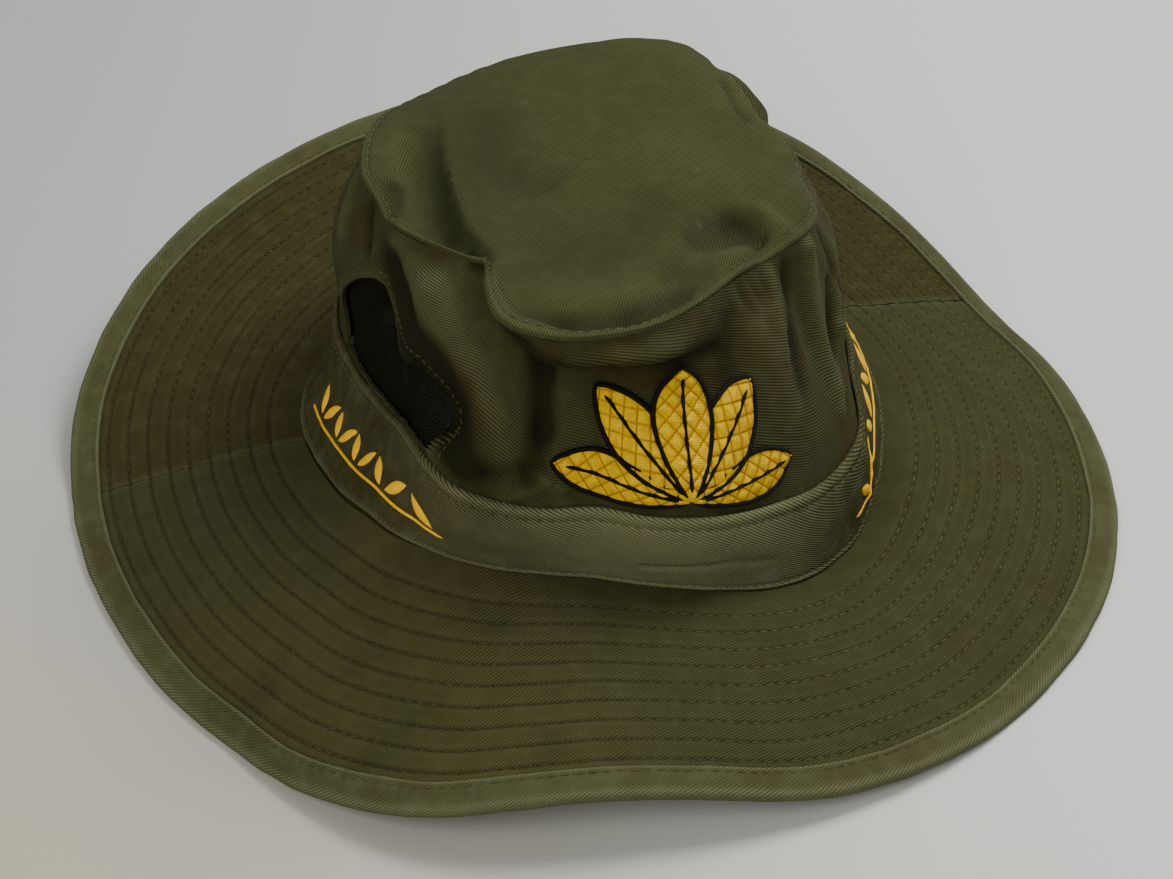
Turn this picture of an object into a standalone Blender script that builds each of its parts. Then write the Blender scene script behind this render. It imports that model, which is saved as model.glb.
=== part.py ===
"""A bush hat of olive cotton twill, lying on its brim.

The crown's foot, the top of its band, its waist and its top seam are closed loops round the
hat. One row of SECTIONS gives all of them at one turn of the hat, and the cloth runs smoothly
from row to row. Metres, +Z up, the wearer faces -Y.
"""

import math

import bmesh
import bpy
import numpy as np

# Driving sizes
HEAD_RADIUS = 0.090  # mean radius of the crown's foot
CROWN_HEIGHT = 0.095  # crown side, from its foot to the top seam
BAND_HEIGHT = 0.030
BRIM_WIDTH = 0.073  # from the foot to the edge, with the binding
BRIM_THICK = 0.0014
BRIM_SWELL = 0.0012  # how far the brim arches up between foot and edge
CROWN_CLOTH = 0.0012
FOOT_HEM = 0.0020  # cloth of the crown that hangs below its foot
BAND_CLOTH = 0.0010
BINDING_WIDTH = 0.0070  # how far the edge binding reaches in over the brim
BINDING_CLOTH = 0.0010
FLATTENED = 0.0004  # how far the binding is pressed flat where it rests
FLAT_STRIP = 0.0015  # width of the pressed strip, inwards from the edge
DOME_RISE = 0.0065  # middle of the crown top above the mean height of its seam
TOP_FLATNESS = 8  # 1 makes the crown top a cone, more makes it flatter with a rounder edge
CLEARANCE = 0.0003
SEAM_GAP = 0.0005  # between the top and the side's upper edge

# Side vents: a half oval of net, flat side on the band
VENT_WIDTH = 0.069
VENT_HEIGHT = 0.035
VENT_LIFT = 0.0020  # cloth left between the band and the vent
VENT_FULLNESS = 0.8  # 1 makes the half oval an ellipse, less makes its shoulders fuller
VENT_LAP = 0.0025  # net behind the cloth round the vent
NET_CLOTH = 0.0010
NET_GAP = 0.0009  # between the net and the cloth in front of it
VENT_TURNS = {"left": -80.5, "right": 98.0}

# Front embroidery: leaves that fan out from one foot
LEAF_TURN = -2.0
LEAF_LIFT = 0.0032  # foot of the leaves above the band
LEAF_CLOTH = 0.0010
LEAF_ROOT = 0.0035  # radius of the small disc that the leaves grow from
LEAF_COLUMNS = ("lean", "length", "width")
LEAVES = (
    # lean in degrees from upright, length and width in metres
    (-78, 0.039, 0.013),
    (-40, 0.039, 0.016),
    (0, 0.038, 0.018),
    (40, 0.039, 0.016),
    (78, 0.039, 0.013),
)

# The hat section by section. turn: degrees from the front, positive towards +X.
# foot_reach, band_reach and seam_reach: shares of HEAD_RADIUS, out from the middle.
# foot_rise: share of BRIM_WIDTH, above the table. droop: degrees that the brim falls outwards.
# band_rise: share of BAND_HEIGHT, and seam_rise: share of CROWN_HEIGHT, both above the foot.
# waist_push: share of CROWN_HEIGHT that the side stands out between band and seam.
SECTION_COLUMNS = (
    "turn", "foot_reach", "foot_rise", "droop",
    "band_reach", "band_rise", "waist_push", "seam_reach", "seam_rise",
)
SECTIONS = (
    (-180, 1.07, 0.29, -14.5, 1.01, 0.97, 0.06, 0.96, 0.74),
    (-160, 1.03, 0.27, -10.5, 0.98, 0.97, 0.06, 0.87, 0.81),
    (-140, 0.99, 0.26, -3.0, 0.91, 0.98, 0.04, 0.77, 0.92),
    (-122, 0.96, 0.25, 6.5, 0.83, 1.08, 0.05, 0.72, 0.98),
    (-106, 0.92, 0.28, 16.0, 0.77, 1.06, 0.06, 0.70, 0.96),
    (-95, 0.91, 0.35, 20.5, 0.75, 0.93, 0.04, 0.67, 0.90),
    (-82, 0.93, 0.44, 26.0, 0.75, 0.80, 0.02, 0.68, 0.85),
    (-70, 0.98, 0.52, 32.0, 0.79, 0.73, 0.03, 0.67, 0.80),
    (-60, 1.04, 0.60, 36.5, 0.87, 0.75, 0.05, 0.66, 0.75),
    (-52, 1.09, 0.63, 37.0, 0.96, 0.78, 0.02, 0.66, 0.73),
    (-46, 1.10, 0.63, 34.5, 1.05, 0.86, -0.04, 0.68, 0.74),
    (-40, 1.09, 0.61, 30.0, 1.11, 0.86, -0.16, 0.84, 0.78),
    (-34, 1.06, 0.57, 24.5, 1.06, 0.76, -0.18, 0.99, 0.82),
    (-27, 1.00, 0.51, 17.5, 1.01, 0.77, -0.14, 1.01, 0.84),
    (-18, 0.95, 0.45, 12.5, 0.97, 0.86, -0.11, 0.99, 0.88),
    (-8, 0.94, 0.39, 11.5, 1.00, 0.91, -0.07, 0.93, 0.91),
    (4, 0.97, 0.33, 13.5, 1.00, 0.92, -0.02, 0.82, 0.93),
    (18, 0.97, 0.22, 10.0, 0.95, 0.95, 0.03, 0.73, 0.99),
    (32, 0.96, 0.14, 7.5, 0.93, 0.98, 0.02, 0.70, 1.02),
    (47, 0.96, 0.14, 7.5, 0.93, 1.05, -0.02, 0.72, 1.00),
    (62, 0.97, 0.26, 15.0, 0.85, 0.99, 0.02, 0.73, 0.87),
    (77, 0.97, 0.31, 18.0, 0.84, 0.92, 0.04, 0.70, 0.82),
    (92, 0.98, 0.34, 20.0, 0.86, 0.89, 0.06, 0.70, 0.80),
    (106, 0.98, 0.37, 19.0, 0.87, 0.89, 0.10, 0.71, 0.78),
    (122, 1.00, 0.38, 9.0, 0.91, 0.90, 0.10, 0.82, 0.75),
    (137, 1.04, 0.37, -2.0, 0.96, 0.90, 0.08, 0.93, 0.77),
    (152, 1.06, 0.34, -10.0, 0.99, 0.90, 0.06, 0.98, 0.73),
    (166, 1.07, 0.31, -13.5, 1.01, 0.94, 0.06, 0.98, 0.72),
)
BRIM_SEAM_ROWS = (4, 23)  # rows of SECTIONS where the brim's two pieces meet

# Folds pressed into the crown side, on top of its sections. turn in degrees, level from 0 at
# the band to 1 at the seam, spans in the same units, push: share of CROWN_HEIGHT, outwards.
FOLD_COLUMNS = ("turn", "level", "turn_span", "level_span", "push")
SIDE_FOLDS = (
    (-24, 0.86, 12, 0.11, 0.07),
    (-6, 0.86, 12, 0.11, 0.05),
    (44, 0.55, 7, 0.35, -0.05),
    (-62, 0.60, 8, 0.30, 0.03),
    (-76, 0.45, 9, 0.25, -0.03),
    (130, 0.88, 15, 0.12, 0.10),
)

# Hollows and swells of the crown top. reach from 0 in the middle to 1 at the seam, reach_span
# in the same units, push: share of CROWN_HEIGHT, upwards.
TOP_COLUMNS = ("turn", "reach", "turn_span", "reach_span", "push")
TOP_FOLDS = (
    (28, 0.78, 16, 0.13, -0.06),
    (-108, 0.74, 18, 0.11, -0.07),
    (-76, 0.78, 16, 0.12, -0.08),
    (-55, 0.86, 9, 0.12, -0.06),
    (-165, 0.86, 25, 0.16, -0.03),
    (135, 0.88, 22, 0.16, 0.03),
)

# How finely the cloth is divided
STEPS_PER_ROW = 3
BRIM_STEPS = 4
BAND_STEPS = 2
SIDE_LEVELS = (0.15, 0.35, 0.52, 0.67, 0.8, 0.9, 1.0)
TOP_SHARES = (1.0, 0.93, 0.84, 0.73, 0.56, 0.3)
WAIST_LEVEL = 0.6  # height of the waist between the band at 0 and the seam at 1
VENT_STEPS = 16  # along the arch
VENT_BASE_STEPS = 10
NET_RINGS = 4
LEAF_STEPS = 50  # round the outline
PAD_RINGS = 3
SEAM_FADE = 0.12  # folds fade out this near the seam, as a share of the side or of the top
RIM_SHARE = 0.97  # a spot of the top just inside its edge
HUB_SHARE = 0.05  # a spot of the top just outside its middle
SHARP_ANGLE = 50  # degrees between faces from which an edge is shaded sharp
SLIVER = 0.00006  # metres; faces thinner than this are closed up after a cut

MATERIALS = {
    # base colour, roughness
    "twill_green": ((0.044, 0.046, 0.012), 0.85),
    "twill_brown": ((0.040, 0.034, 0.010), 0.85),
    "binding_green": ((0.075, 0.078, 0.034), 0.80),
    "net_black": ((0.004, 0.005, 0.003), 0.60),
    "thread_yellow": ((0.52, 0.30, 0.012), 0.45),
}


def table(rows, columns):
    """The rows of a table as one array for each named column."""
    return dict(zip(columns, np.array(rows, float).T))


SECTION = table(SECTIONS, SECTION_COLUMNS)
ROWS = len(SECTIONS)
ALL_PLACES = np.linspace(0, ROWS, ROWS * STEPS_PER_ROW, endpoint=False)


def round_the_hat(values, place, lap=0.0):
    """A closed smooth curve through the rows. place counts rows, lap is added at each full round."""
    place = np.asarray(place, float)
    base = np.floor(place)
    share = place - base

    def at(offset):
        row = base + offset
        return values[(row % ROWS).astype(int)] + lap * np.floor(row / ROWS)

    before, start, end, after = at(-1), at(0), at(1), at(2)
    slope_in = (end - before) / 2
    slope_out = (after - start) / 2
    square, cube = share**2, share**3
    return (
        start * (2 * cube - 3 * square + 1)
        + slope_in * (cube - 2 * square + share)
        + end * (3 * square - 2 * cube)
        + slope_out * (cube - square)
    )


def column(name, place):
    return round_the_hat(SECTION[name], place)


def turn_at(place):
    return round_the_hat(SECTION["turn"], place, lap=360.0)


def place_of(turn):
    """The place in rows where the section has this turn."""
    places = np.linspace(-ROWS, 2 * ROWS, 3 * ROWS * 20 + 1)
    return np.interp(turn, turn_at(places), places)


def outwards(turn):
    """Level direction that points out from the middle at a turn."""
    angle = np.radians(turn)
    return np.stack([np.sin(angle), -np.cos(angle), np.zeros_like(angle)], axis=-1)


def point(turn, reach, height):
    return outwards(turn) * np.expand_dims(reach, -1) + np.stack(
        [np.zeros_like(height), np.zeros_like(height), height], axis=-1
    )


def bump(distance, span):
    return np.exp(-((distance / span) ** 2))


def apart(turn, middle):
    """Degrees between two turns, the short way round."""
    return (turn - middle + 180.0) % 360.0 - 180.0


def foot(place):
    """Reach and height of the crown's foot."""
    return column("foot_reach", place) * HEAD_RADIUS, column("foot_rise", place) * BRIM_WIDTH


BINDING_HALF = BRIM_THICK / 2 + CLEARANCE + BINDING_CLOTH
BINDING_NOSE = CLEARANCE
BRIM_CLOTH = BRIM_WIDTH - BINDING_NOSE - BINDING_HALF  # the brim without its binding


def droop(place):
    """Slope of the brim in radians. It never falls so far that the binding enters the table."""
    _, height = foot(place)
    slope = np.radians(column("droop", place))
    lowest = BINDING_HALF + BINDING_NOSE * np.sin(np.maximum(slope, 0)) - FLATTENED
    return np.minimum(slope, np.arcsin(np.clip((height - lowest) / BRIM_CLOTH, -1, 1)))


def brim(place, out, lift=0.0):
    """A point of the brim. out: metres from the foot, lift: metres above its middle layer."""
    reach, height = foot(place)
    slope = droop(place)
    share = out / BRIM_CLOTH
    above = lift + 4 * BRIM_SWELL * share * (1 - share)
    return point(
        turn_at(place),
        reach + out * np.cos(slope) + above * np.sin(slope),
        height - out * np.sin(slope) + above * np.cos(slope),
    )


def middle_of_plan():
    """Middle of the brim's box, which is put over the origin."""
    edge = brim(ALL_PLACES, BRIM_CLOTH)
    return (edge.min(axis=0) + edge.max(axis=0))[:2] / 2


def hermite(values, knots, level):
    """A smooth curve through a few values at rising knots, one value array for each knot."""
    slopes = [(values[1] - values[0]) / (knots[1] - knots[0])]
    for i in range(1, len(knots) - 1):
        slopes.append((values[i + 1] - values[i - 1]) / (knots[i + 1] - knots[i - 1]))
    slopes.append((values[-1] - values[-2]) / (knots[-1] - knots[-2]))
    result = np.zeros(np.broadcast(values[0], level).shape)
    for i in range(len(knots) - 1):
        inside = (level >= knots[i]) if i else np.full(np.shape(level), True)
        span = knots[i + 1] - knots[i]
        share = (level - knots[i]) / span
        square, cube = share**2, share**3
        piece = (
            values[i] * (2 * cube - 3 * square + 1)
            + slopes[i] * span * (cube - 2 * square + share)
            + values[i + 1] * (3 * square - 2 * cube)
            + slopes[i + 1] * span * (cube - square)
        )
        result = np.where(inside, piece, result)
    return result


def side_line(place):
    """Reach and height of foot, band top, waist and seam at a place."""
    foot_reach, foot_height = foot(place)
    band_reach = column("band_reach", place) * HEAD_RADIUS
    band_height = foot_height + column("band_rise", place) * BAND_HEIGHT
    seam_reach = column("seam_reach", place) * HEAD_RADIUS
    seam_height = foot_height + column("seam_rise", place) * CROWN_HEIGHT
    waist_reach = (
        band_reach + (seam_reach - band_reach) * WAIST_LEVEL
        + column("waist_push", place) * CROWN_HEIGHT
    )
    waist_height = band_height + (seam_height - band_height) * WAIST_LEVEL
    return (
        (foot_reach, band_reach, waist_reach, seam_reach),
        (foot_height, band_height, waist_height, seam_height),
    )


def side_points(place, level):
    """The crown side. level: -1 at the foot, 0 at the top of the band, 1 under the top's edge."""
    place, level = np.broadcast_arrays(np.asarray(place, float), np.asarray(level, float))
    reaches, heights = side_line(place)
    under = under_top(place)
    reaches = (*reaches[:3], under[0])
    heights = (*heights[:3], under[1])
    knots = (-1.0, 0.0, WAIST_LEVEL, 1.0)
    reach = hermite(reaches, knots, level)
    height = hermite(heights, knots, level)
    turn = turn_at(place)
    for fold in SIDE_FOLDS:
        fold = dict(zip(FOLD_COLUMNS, fold))
        reach = reach + (
            fold["push"] * CROWN_HEIGHT
            * bump(apart(turn, fold["turn"]), fold["turn_span"])
            * bump(level - fold["level"], fold["level_span"])
            * np.clip((1 - level) / SEAM_FADE, 0, 1)
        )
    return point(turn, reach, height)


def top_points(place, share):
    """The crown top. share: 0 in the middle, 1 at the seam."""
    place, share = np.broadcast_arrays(np.asarray(place, float), np.asarray(share, float))
    reaches, heights = side_line(place)
    turn = turn_at(place)
    middle = side_line(ALL_PLACES)[1][3].mean() + DOME_RISE
    height = middle + (heights[3] - middle) * share**TOP_FLATNESS
    for fold in TOP_FOLDS:
        fold = dict(zip(TOP_COLUMNS, fold))
        height = height + (
            fold["push"] * CROWN_HEIGHT
            * bump(apart(turn, fold["turn"]), fold["turn_span"])
            * bump(share - fold["reach"], fold["reach_span"])
            * np.clip((1 - share) / SEAM_FADE, 0, 1)
            * np.clip(share * 2, 0, 1)
        )
    return point(turn, reaches[3] * share, height)


def top_normals(place, share):
    """Unit normals of the crown top, upwards, near its edge those of a spot just inside."""
    place, share = np.broadcast_arrays(np.asarray(place, float), np.asarray(share, float))
    lift = normals(top_points, place, np.clip(share, HUB_SHARE, RIM_SHARE))
    return lift * np.sign(lift[..., 2:])


def below_top(place, share):
    """A point just clear of the top's underside."""
    return top_points(place, share) - top_normals(place, share) * (CROWN_CLOTH + SEAM_GAP)


def under_top(place):
    """Reach and height just below the top's edge, where the side's cloth ends."""
    edge = below_top(place, 1.0)
    along = outwards(turn_at(place))
    return (edge * along).sum(axis=-1), edge[..., 2]


def normals(surface, place, level, step=1e-3):
    """Unit normals of a surface function, by small steps along and across."""
    along = surface(place + step, level) - surface(place - step, level)
    across = surface(place, level + step) - surface(place, level - step)
    cross = np.cross(along, across)
    return cross / np.linalg.norm(cross, axis=-1, keepdims=True)


def off_side(place, level, lift):
    """A point of the crown side moved out by lift metres."""
    return side_points(place, level) + normals(side_points, place, level) * lift


def material(name):
    colour, roughness = MATERIALS[name]
    made = bpy.data.materials.new(name)
    made.use_nodes = True
    shader = made.node_tree.nodes["Principled BSDF"]
    shader.inputs["Base Color"].default_value = (*colour, 1.0)
    shader.inputs["Roughness"].default_value = roughness
    made.diffuse_color = (*colour, 1.0)
    return made


def add_object(name, points, faces, finish):
    """A mesh object from points in metres, centred over the origin."""
    shift = np.array([*middle_of_plan(), 0.0])
    mesh = bpy.data.meshes.new(name)
    mesh.from_pydata((np.asarray(points) - shift).tolist(), [], faces)
    mesh.validate()
    mesh.shade_smooth()
    mesh.set_sharp_from_angle(angle=math.radians(SHARP_ANGLE))
    mesh.materials.append(finish)
    made = bpy.data.objects.new(name, mesh)
    bpy.context.scene.collection.objects.link(made)
    return made


def turn_faces_out(made):
    """Points every face outwards."""
    shape = bmesh.new()
    shape.from_mesh(made.data)
    bmesh.ops.recalc_face_normals(shape, faces=shape.faces)
    shape.to_mesh(made.data)
    shape.free()


def cell(a, b, c, d, flipped=False):
    """Two triangles for the corners a, b, c, d, always split from a to c."""
    faces = [(a, b, c), (a, c, d)]
    return [face[::-1] for face in faces] if flipped else faces


def layered(name, upper, lower, finish, ring=True):
    """A closed shell between two grids of points, each line of a grid a closed ring or open."""
    lines, count = upper.shape[:2]
    under = lines * count
    faces = []
    ahead_of = [(j, (j + 1) % count) for j in range(count if ring else count - 1)]
    for i in range(lines - 1):
        here, there = i * count, (i + 1) * count
        for j, ahead in ahead_of:
            corners = (here + j, here + ahead, there + ahead, there + j)
            faces += cell(*corners)
            faces += cell(*(corner + under for corner in corners), flipped=True)
    last = (lines - 1) * count
    for j, ahead in ahead_of:
        faces += cell(j, under + j, under + ahead, ahead)
        faces += cell(last + j, last + ahead, under + last + ahead, under + last + j)
    if not ring:
        for i in range(lines - 1):
            here, there = i * count, (i + 1) * count
            faces += cell(here, there, under + there, under + here)
            faces += cell(
                here + count - 1, under + here + count - 1,
                under + there + count - 1, there + count - 1,
            )
    points = np.concatenate([upper.reshape(-1, 3), lower.reshape(-1, 3)])
    return add_object(name, points, faces, finish)


def section_places(first, last):
    """Places from one row to another, short of both rows by half the clearance at the foot."""
    places = np.linspace(first, last, (last - first) * STEPS_PER_ROW + 1)
    half_gap = math.degrees(CLEARANCE / 2 / HEAD_RADIUS)
    places[0] = place_of(turn_at(first) + half_gap)
    places[-1] = place_of(turn_at(last) - half_gap)
    return places


def brim_piece(name, first, last, finish):
    """One of the brim's two pieces, a bent slab with a gap at each radial seam."""
    outs = np.linspace(CLEARANCE, BRIM_CLOTH, BRIM_STEPS + 1)[:, None]
    places = section_places(first, last)
    upper = brim(places, outs, BRIM_THICK / 2)
    lower = brim(places, outs, -BRIM_THICK / 2)
    # the inner edge stands upright against the crown's foot
    for line in (upper[0], lower[0]):
        line[:] = point(turn_at(places), foot(places)[0] + CLEARANCE, line[:, 2])
    return layered(name, upper, lower, finish, ring=False)


def binding_section(place):
    """The binding folded round the edge: over the top, round a blunt nose, back underneath."""
    inner = BRIM_THICK / 2 + CLEARANCE
    corners = [(-BINDING_WIDTH, BINDING_HALF)]
    for degrees in (90, 30, -30, -90):
        angle = math.radians(degrees)
        corners.append((BINDING_HALF * math.cos(angle) + BINDING_NOSE, BINDING_HALF * math.sin(angle)))
    corners.append((-FLAT_STRIP, -BINDING_HALF))
    corners.append((-BINDING_WIDTH, -BINDING_HALF))
    corners.append((-BINDING_WIDTH, -inner))
    corners.append((BINDING_NOSE, -inner))
    corners.append((BINDING_NOSE, inner))
    corners.append((-BINDING_WIDTH, inner))
    out, lift = np.array(corners).T
    at = np.full(len(out), place)
    outline = brim(at, BRIM_CLOTH + np.minimum(out, 0), lift)
    slope = droop(at)
    direction = outwards(turn_at(at)) * np.cos(slope)[:, None]
    direction[:, 2] -= np.sin(slope)
    outline = outline + direction * np.maximum(out, 0)[:, None]
    outline[:, 2] = np.maximum(outline[:, 2], 0.0)
    return outline


def binding(finish):
    """The folded strip all round the brim's edge."""
    outlines = np.array([binding_section(place) for place in ALL_PLACES])
    sections, count = outlines.shape[:2]
    faces = []
    for i in range(sections):
        here, there = i * count, (i + 1) % sections * count
        for j in range(count):
            ahead = (j + 1) % count
            faces += cell(here + j, here + ahead, there + ahead, there + j)
    return add_object("brim_binding", outlines.reshape(-1, 3), faces, finish)


def band_levels():
    """Levels of the band's lines, its lower edge just clear of the brim."""
    lowest = -1 + (BRIM_THICK / 2 + CLEARANCE) / BAND_HEIGHT
    return np.linspace(lowest, 0, BAND_STEPS + 1)


def crown_side(finish):
    """The upright cloth of the crown, a tube from the foot to just under the top's edge."""
    levels = np.concatenate([[-1.0, -1.0], band_levels(), SIDE_LEVELS])[:, None]
    outer = side_points(ALL_PLACES, levels)
    inner = off_side(ALL_PLACES, levels, -CROWN_CLOTH)
    # its lowest edge hangs straight down behind the brim's inner edge
    outer[0, :, 2] -= FOOT_HEM
    inner[0, :, 2] = outer[0, :, 2]
    # where the wall leans out under the top, its upper edge follows the top's underside
    across = inner[-1] - outer[-1]
    inwards = below_top(ALL_PLACES, TOP_SHARES[1]) - outer[-1]
    lift = top_normals(ALL_PLACES, 1.0)
    rises = (across * lift).sum(axis=-1) > 0
    stretch = CROWN_CLOTH**2 / (inwards * across).sum(axis=-1)
    inner[-1][rises] = (outer[-1] + inwards * stretch[:, None] - lift * CLEARANCE)[rises]
    return layered("crown_side", outer, inner, finish)


def hat_band(finish):
    """A strip round the foot of the crown, outside its cloth."""
    levels = band_levels()[:, None]
    outer = off_side(ALL_PLACES, levels, CLEARANCE + BAND_CLOTH)
    inner = off_side(ALL_PLACES, levels, CLEARANCE)
    return layered("hat_band", outer, inner, finish)


def crown_top(finish):
    """The oval top, a disc of cloth that lies over the side's upper edge."""
    shares = np.array(TOP_SHARES)[:, None]
    upper = top_points(ALL_PLACES, shares)
    lower = upper - top_normals(ALL_PLACES, shares) * CROWN_CLOTH
    lines, count = upper.shape[:2]
    middle = top_points(0.0, 0.0)
    points = np.concatenate(
        [upper.reshape(-1, 3), lower.reshape(-1, 3), [middle, middle - [0, 0, CROWN_CLOTH]]]
    )
    under = lines * count
    faces = []
    last = (lines - 1) * count
    for j in range(count):
        ahead = (j + 1) % count
        for i in range(lines - 1):
            here, there = i * count, (i + 1) * count
            corners = (here + j, here + ahead, there + ahead, there + j)
            faces += cell(*corners)
            faces += cell(*(corner + under for corner in corners), flipped=True)
        faces += cell(j, under + j, under + ahead, ahead)
        faces.append((last + j, last + ahead, 2 * under))
        faces.append((under + last + ahead, under + last + j, 2 * under + 1))
    return add_object("crown_top", points, faces, finish)


def on_side(turn, across, up):
    """Place and level of a spot given in metres: across from a turn, up from the band's top."""
    start = place_of(turn)
    reaches, heights = side_line(np.asarray(start))
    place = place_of(turn + np.degrees(across / reaches[1]))
    level = up / math.hypot(heights[3] - heights[1], reaches[3] - reaches[1])
    return place, level


def vent_outline(grow):
    """The vent's half oval, in metres across and up, larger by grow but not far below the band's top."""
    lowest = max(VENT_LIFT - grow, -CLEARANCE)
    half = VENT_WIDTH / 2 + grow
    corners = []
    for step in range(VENT_STEPS + 1):
        angle = math.pi * step / VENT_STEPS
        rise = (VENT_LIFT + VENT_HEIGHT + grow - lowest) * math.sin(angle) ** VENT_FULLNESS
        corners.append((half * math.cos(angle), lowest + rise))
    for step in range(1, VENT_BASE_STEPS):
        corners.append((half * (2 * step / VENT_BASE_STEPS - 1), lowest))
    return np.array(corners)


def vent_patch(name, turn, grow, low, high, rings, finish):
    """A pad in the shape of a vent, larger by grow, between two lifts."""
    middle = np.array([0.0, VENT_LIFT + VENT_HEIGHT / 2])
    return patch(name, vent_outline(grow), middle, turn, low, high, rings, finish)


def patch(name, outline, middle, turn, low, high, rings, finish):
    """A closed pad on the crown side between two lifts, from an outline in metres."""
    shares = np.linspace(1, 0, rings + 1)[:-1]
    count = len(outline)
    points = []
    for lift in (high, low):
        for share in shares:
            spots = middle + (outline - middle) * share
            place, level = on_side(turn, spots[:, 0], spots[:, 1])
            points.append(off_side(place, level, lift))
        place, level = on_side(turn, np.array([middle[0]]), np.array([middle[1]]))
        points.append(off_side(place, level, lift))
    under = rings * count + 1
    faces = []
    centre, last = rings * count, (rings - 1) * count
    for j in range(count):
        ahead = (j + 1) % count
        for ring in range(rings - 1):
            here, there = ring * count, (ring + 1) * count
            corners = (here + j, here + ahead, there + ahead, there + j)
            faces += cell(*corners)
            faces += cell(*(corner + under for corner in corners), flipped=True)
        faces.append((last + j, last + ahead, centre))
        faces.append((under + last + ahead, under + last + j, under + centre))
        faces += cell(j, under + j, under + ahead, ahead)
    return add_object(name, np.concatenate(points), faces, finish)


def cut_vents(side):
    """Cuts the vents through the crown side and closes up the needle-thin faces that this leaves."""
    reach_out = 4 * CROWN_CLOTH
    cutters = []
    for name, turn in VENT_TURNS.items():
        cutter = vent_patch(
            "cutter_" + name, turn, 0.0, -reach_out, reach_out, PAD_RINGS, side.data.materials[0]
        )
        turn_faces_out(cutter)
        cut = side.modifiers.new("vent_" + name, "BOOLEAN")
        cut.operation = "DIFFERENCE"
        cut.object = cutter
        cutters.append(cutter)
    shape = bmesh.new()
    shape.from_object(side, bpy.context.evaluated_depsgraph_get())
    side.modifiers.clear()
    for _ in range(2):
        bmesh.ops.remove_doubles(shape, verts=shape.verts, dist=SLIVER)
        bmesh.ops.dissolve_degenerate(shape, edges=shape.edges, dist=SLIVER)
        bmesh.ops.triangulate(shape, faces=shape.faces)
    shape.to_mesh(side.data)
    shape.free()
    for cutter in cutters:
        bpy.data.objects.remove(cutter, do_unlink=True)


def leaf_outline():
    """One outline round all the leaves, seen from their common foot."""
    corners = []
    for step in range(LEAF_STEPS):
        degrees = -180 + 360 * step / LEAF_STEPS
        reach = LEAF_ROOT
        for leaf in LEAVES:
            leaf = dict(zip(LEAF_COLUMNS, leaf))
            off = math.radians(apart(degrees, leaf["lean"]))
            if abs(off) < math.pi / 2:
                narrow = leaf["length"] * math.cos(off) ** (0.5 * (leaf["length"] / leaf["width"]) ** 2)
                reach = max(reach, narrow)
        angle = math.radians(degrees)
        corners.append((reach * math.sin(angle), reach * math.cos(angle) + LEAF_ROOT + LEAF_LIFT))
    return np.array(corners)[::-1], np.array([0.0, LEAF_ROOT + LEAF_LIFT])


def front_leaves(finish):
    outline, middle = leaf_outline()
    return patch(
        "leaf_embroidery", outline, middle, LEAF_TURN,
        2 * CLEARANCE, 2 * CLEARANCE + LEAF_CLOTH, PAD_RINGS, finish,
    )


def main():
    for old in list(bpy.data.objects):
        bpy.data.objects.remove(old, do_unlink=True)
    finish = {name: material(name) for name in MATERIALS}
    first, last = BRIM_SEAM_ROWS
    brim_piece("brim_front", first, last, finish["twill_green"])
    brim_piece("brim_back", last, first + ROWS, finish["twill_brown"])
    binding(finish["binding_green"])
    side = crown_side(finish["twill_green"])
    turn_faces_out(side)
    cut_vents(side)
    hat_band(finish["twill_brown"])
    crown_top(finish["twill_green"])
    net_top = -(CROWN_CLOTH + NET_GAP)
    for name, turn in VENT_TURNS.items():
        vent_patch(
            "vent_net_" + name, turn, VENT_LAP, net_top - NET_CLOTH, net_top, NET_RINGS,
            finish["net_black"],
        )
    front_leaves(finish["thread_yellow"])
    for made in bpy.data.objects:
        turn_faces_out(made)


main()
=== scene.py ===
"""The look of a bush hat of olive cotton twill: dense cloth, stitches, nets and embroidery.

Metres, +Z up, the wearer faces -Y. The cloth follows the same section tables as the solids.
"""

import math

import bmesh
import bpy
import numpy as np
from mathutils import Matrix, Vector


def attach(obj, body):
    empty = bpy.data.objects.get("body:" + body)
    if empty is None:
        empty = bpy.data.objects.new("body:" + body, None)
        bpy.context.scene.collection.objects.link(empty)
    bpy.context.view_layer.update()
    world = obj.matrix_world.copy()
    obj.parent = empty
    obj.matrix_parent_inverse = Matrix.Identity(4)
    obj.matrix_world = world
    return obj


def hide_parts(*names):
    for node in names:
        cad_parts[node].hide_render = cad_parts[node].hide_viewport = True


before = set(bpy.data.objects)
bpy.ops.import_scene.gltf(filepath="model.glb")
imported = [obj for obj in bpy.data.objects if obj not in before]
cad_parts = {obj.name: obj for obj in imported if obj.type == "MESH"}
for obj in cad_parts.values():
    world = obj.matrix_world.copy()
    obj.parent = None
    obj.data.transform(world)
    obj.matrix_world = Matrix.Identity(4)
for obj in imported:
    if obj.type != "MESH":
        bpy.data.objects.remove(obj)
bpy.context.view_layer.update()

# Driving sizes
MM = 0.001
HEAD_RADIUS = 0.090  # mean radius of the crown's foot
CROWN_HEIGHT = 0.095  # crown side, from its foot to the top seam
BAND_HEIGHT = 0.030
BRIM_WIDTH = 0.073  # from the foot to the edge, with the binding
BRIM_THICK = 0.0014
BRIM_SWELL = 0.0012  # how far the brim arches up between foot and edge
CROWN_CLOTH = 0.0012
BAND_CLOTH = 0.0010
BINDING_WIDTH = 0.0070  # how far the edge binding reaches in over the brim
BINDING_CLOTH = 0.0010
FLATTENED = 0.0004  # how far the binding is pressed flat where it rests
DOME_RISE = 0.0065  # middle of the crown top above the mean height of its seam
TOP_FLATNESS = 8  # 1 makes the crown top a cone, more makes it flatter with a rounder edge
CLEARANCE = 0.0003
SEAM_GAP = 0.0005  # between the top and the side's upper edge
SHARP_ANGLE = 55.0  # edges sharper than this, in degrees, aren't shaded smooth
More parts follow.
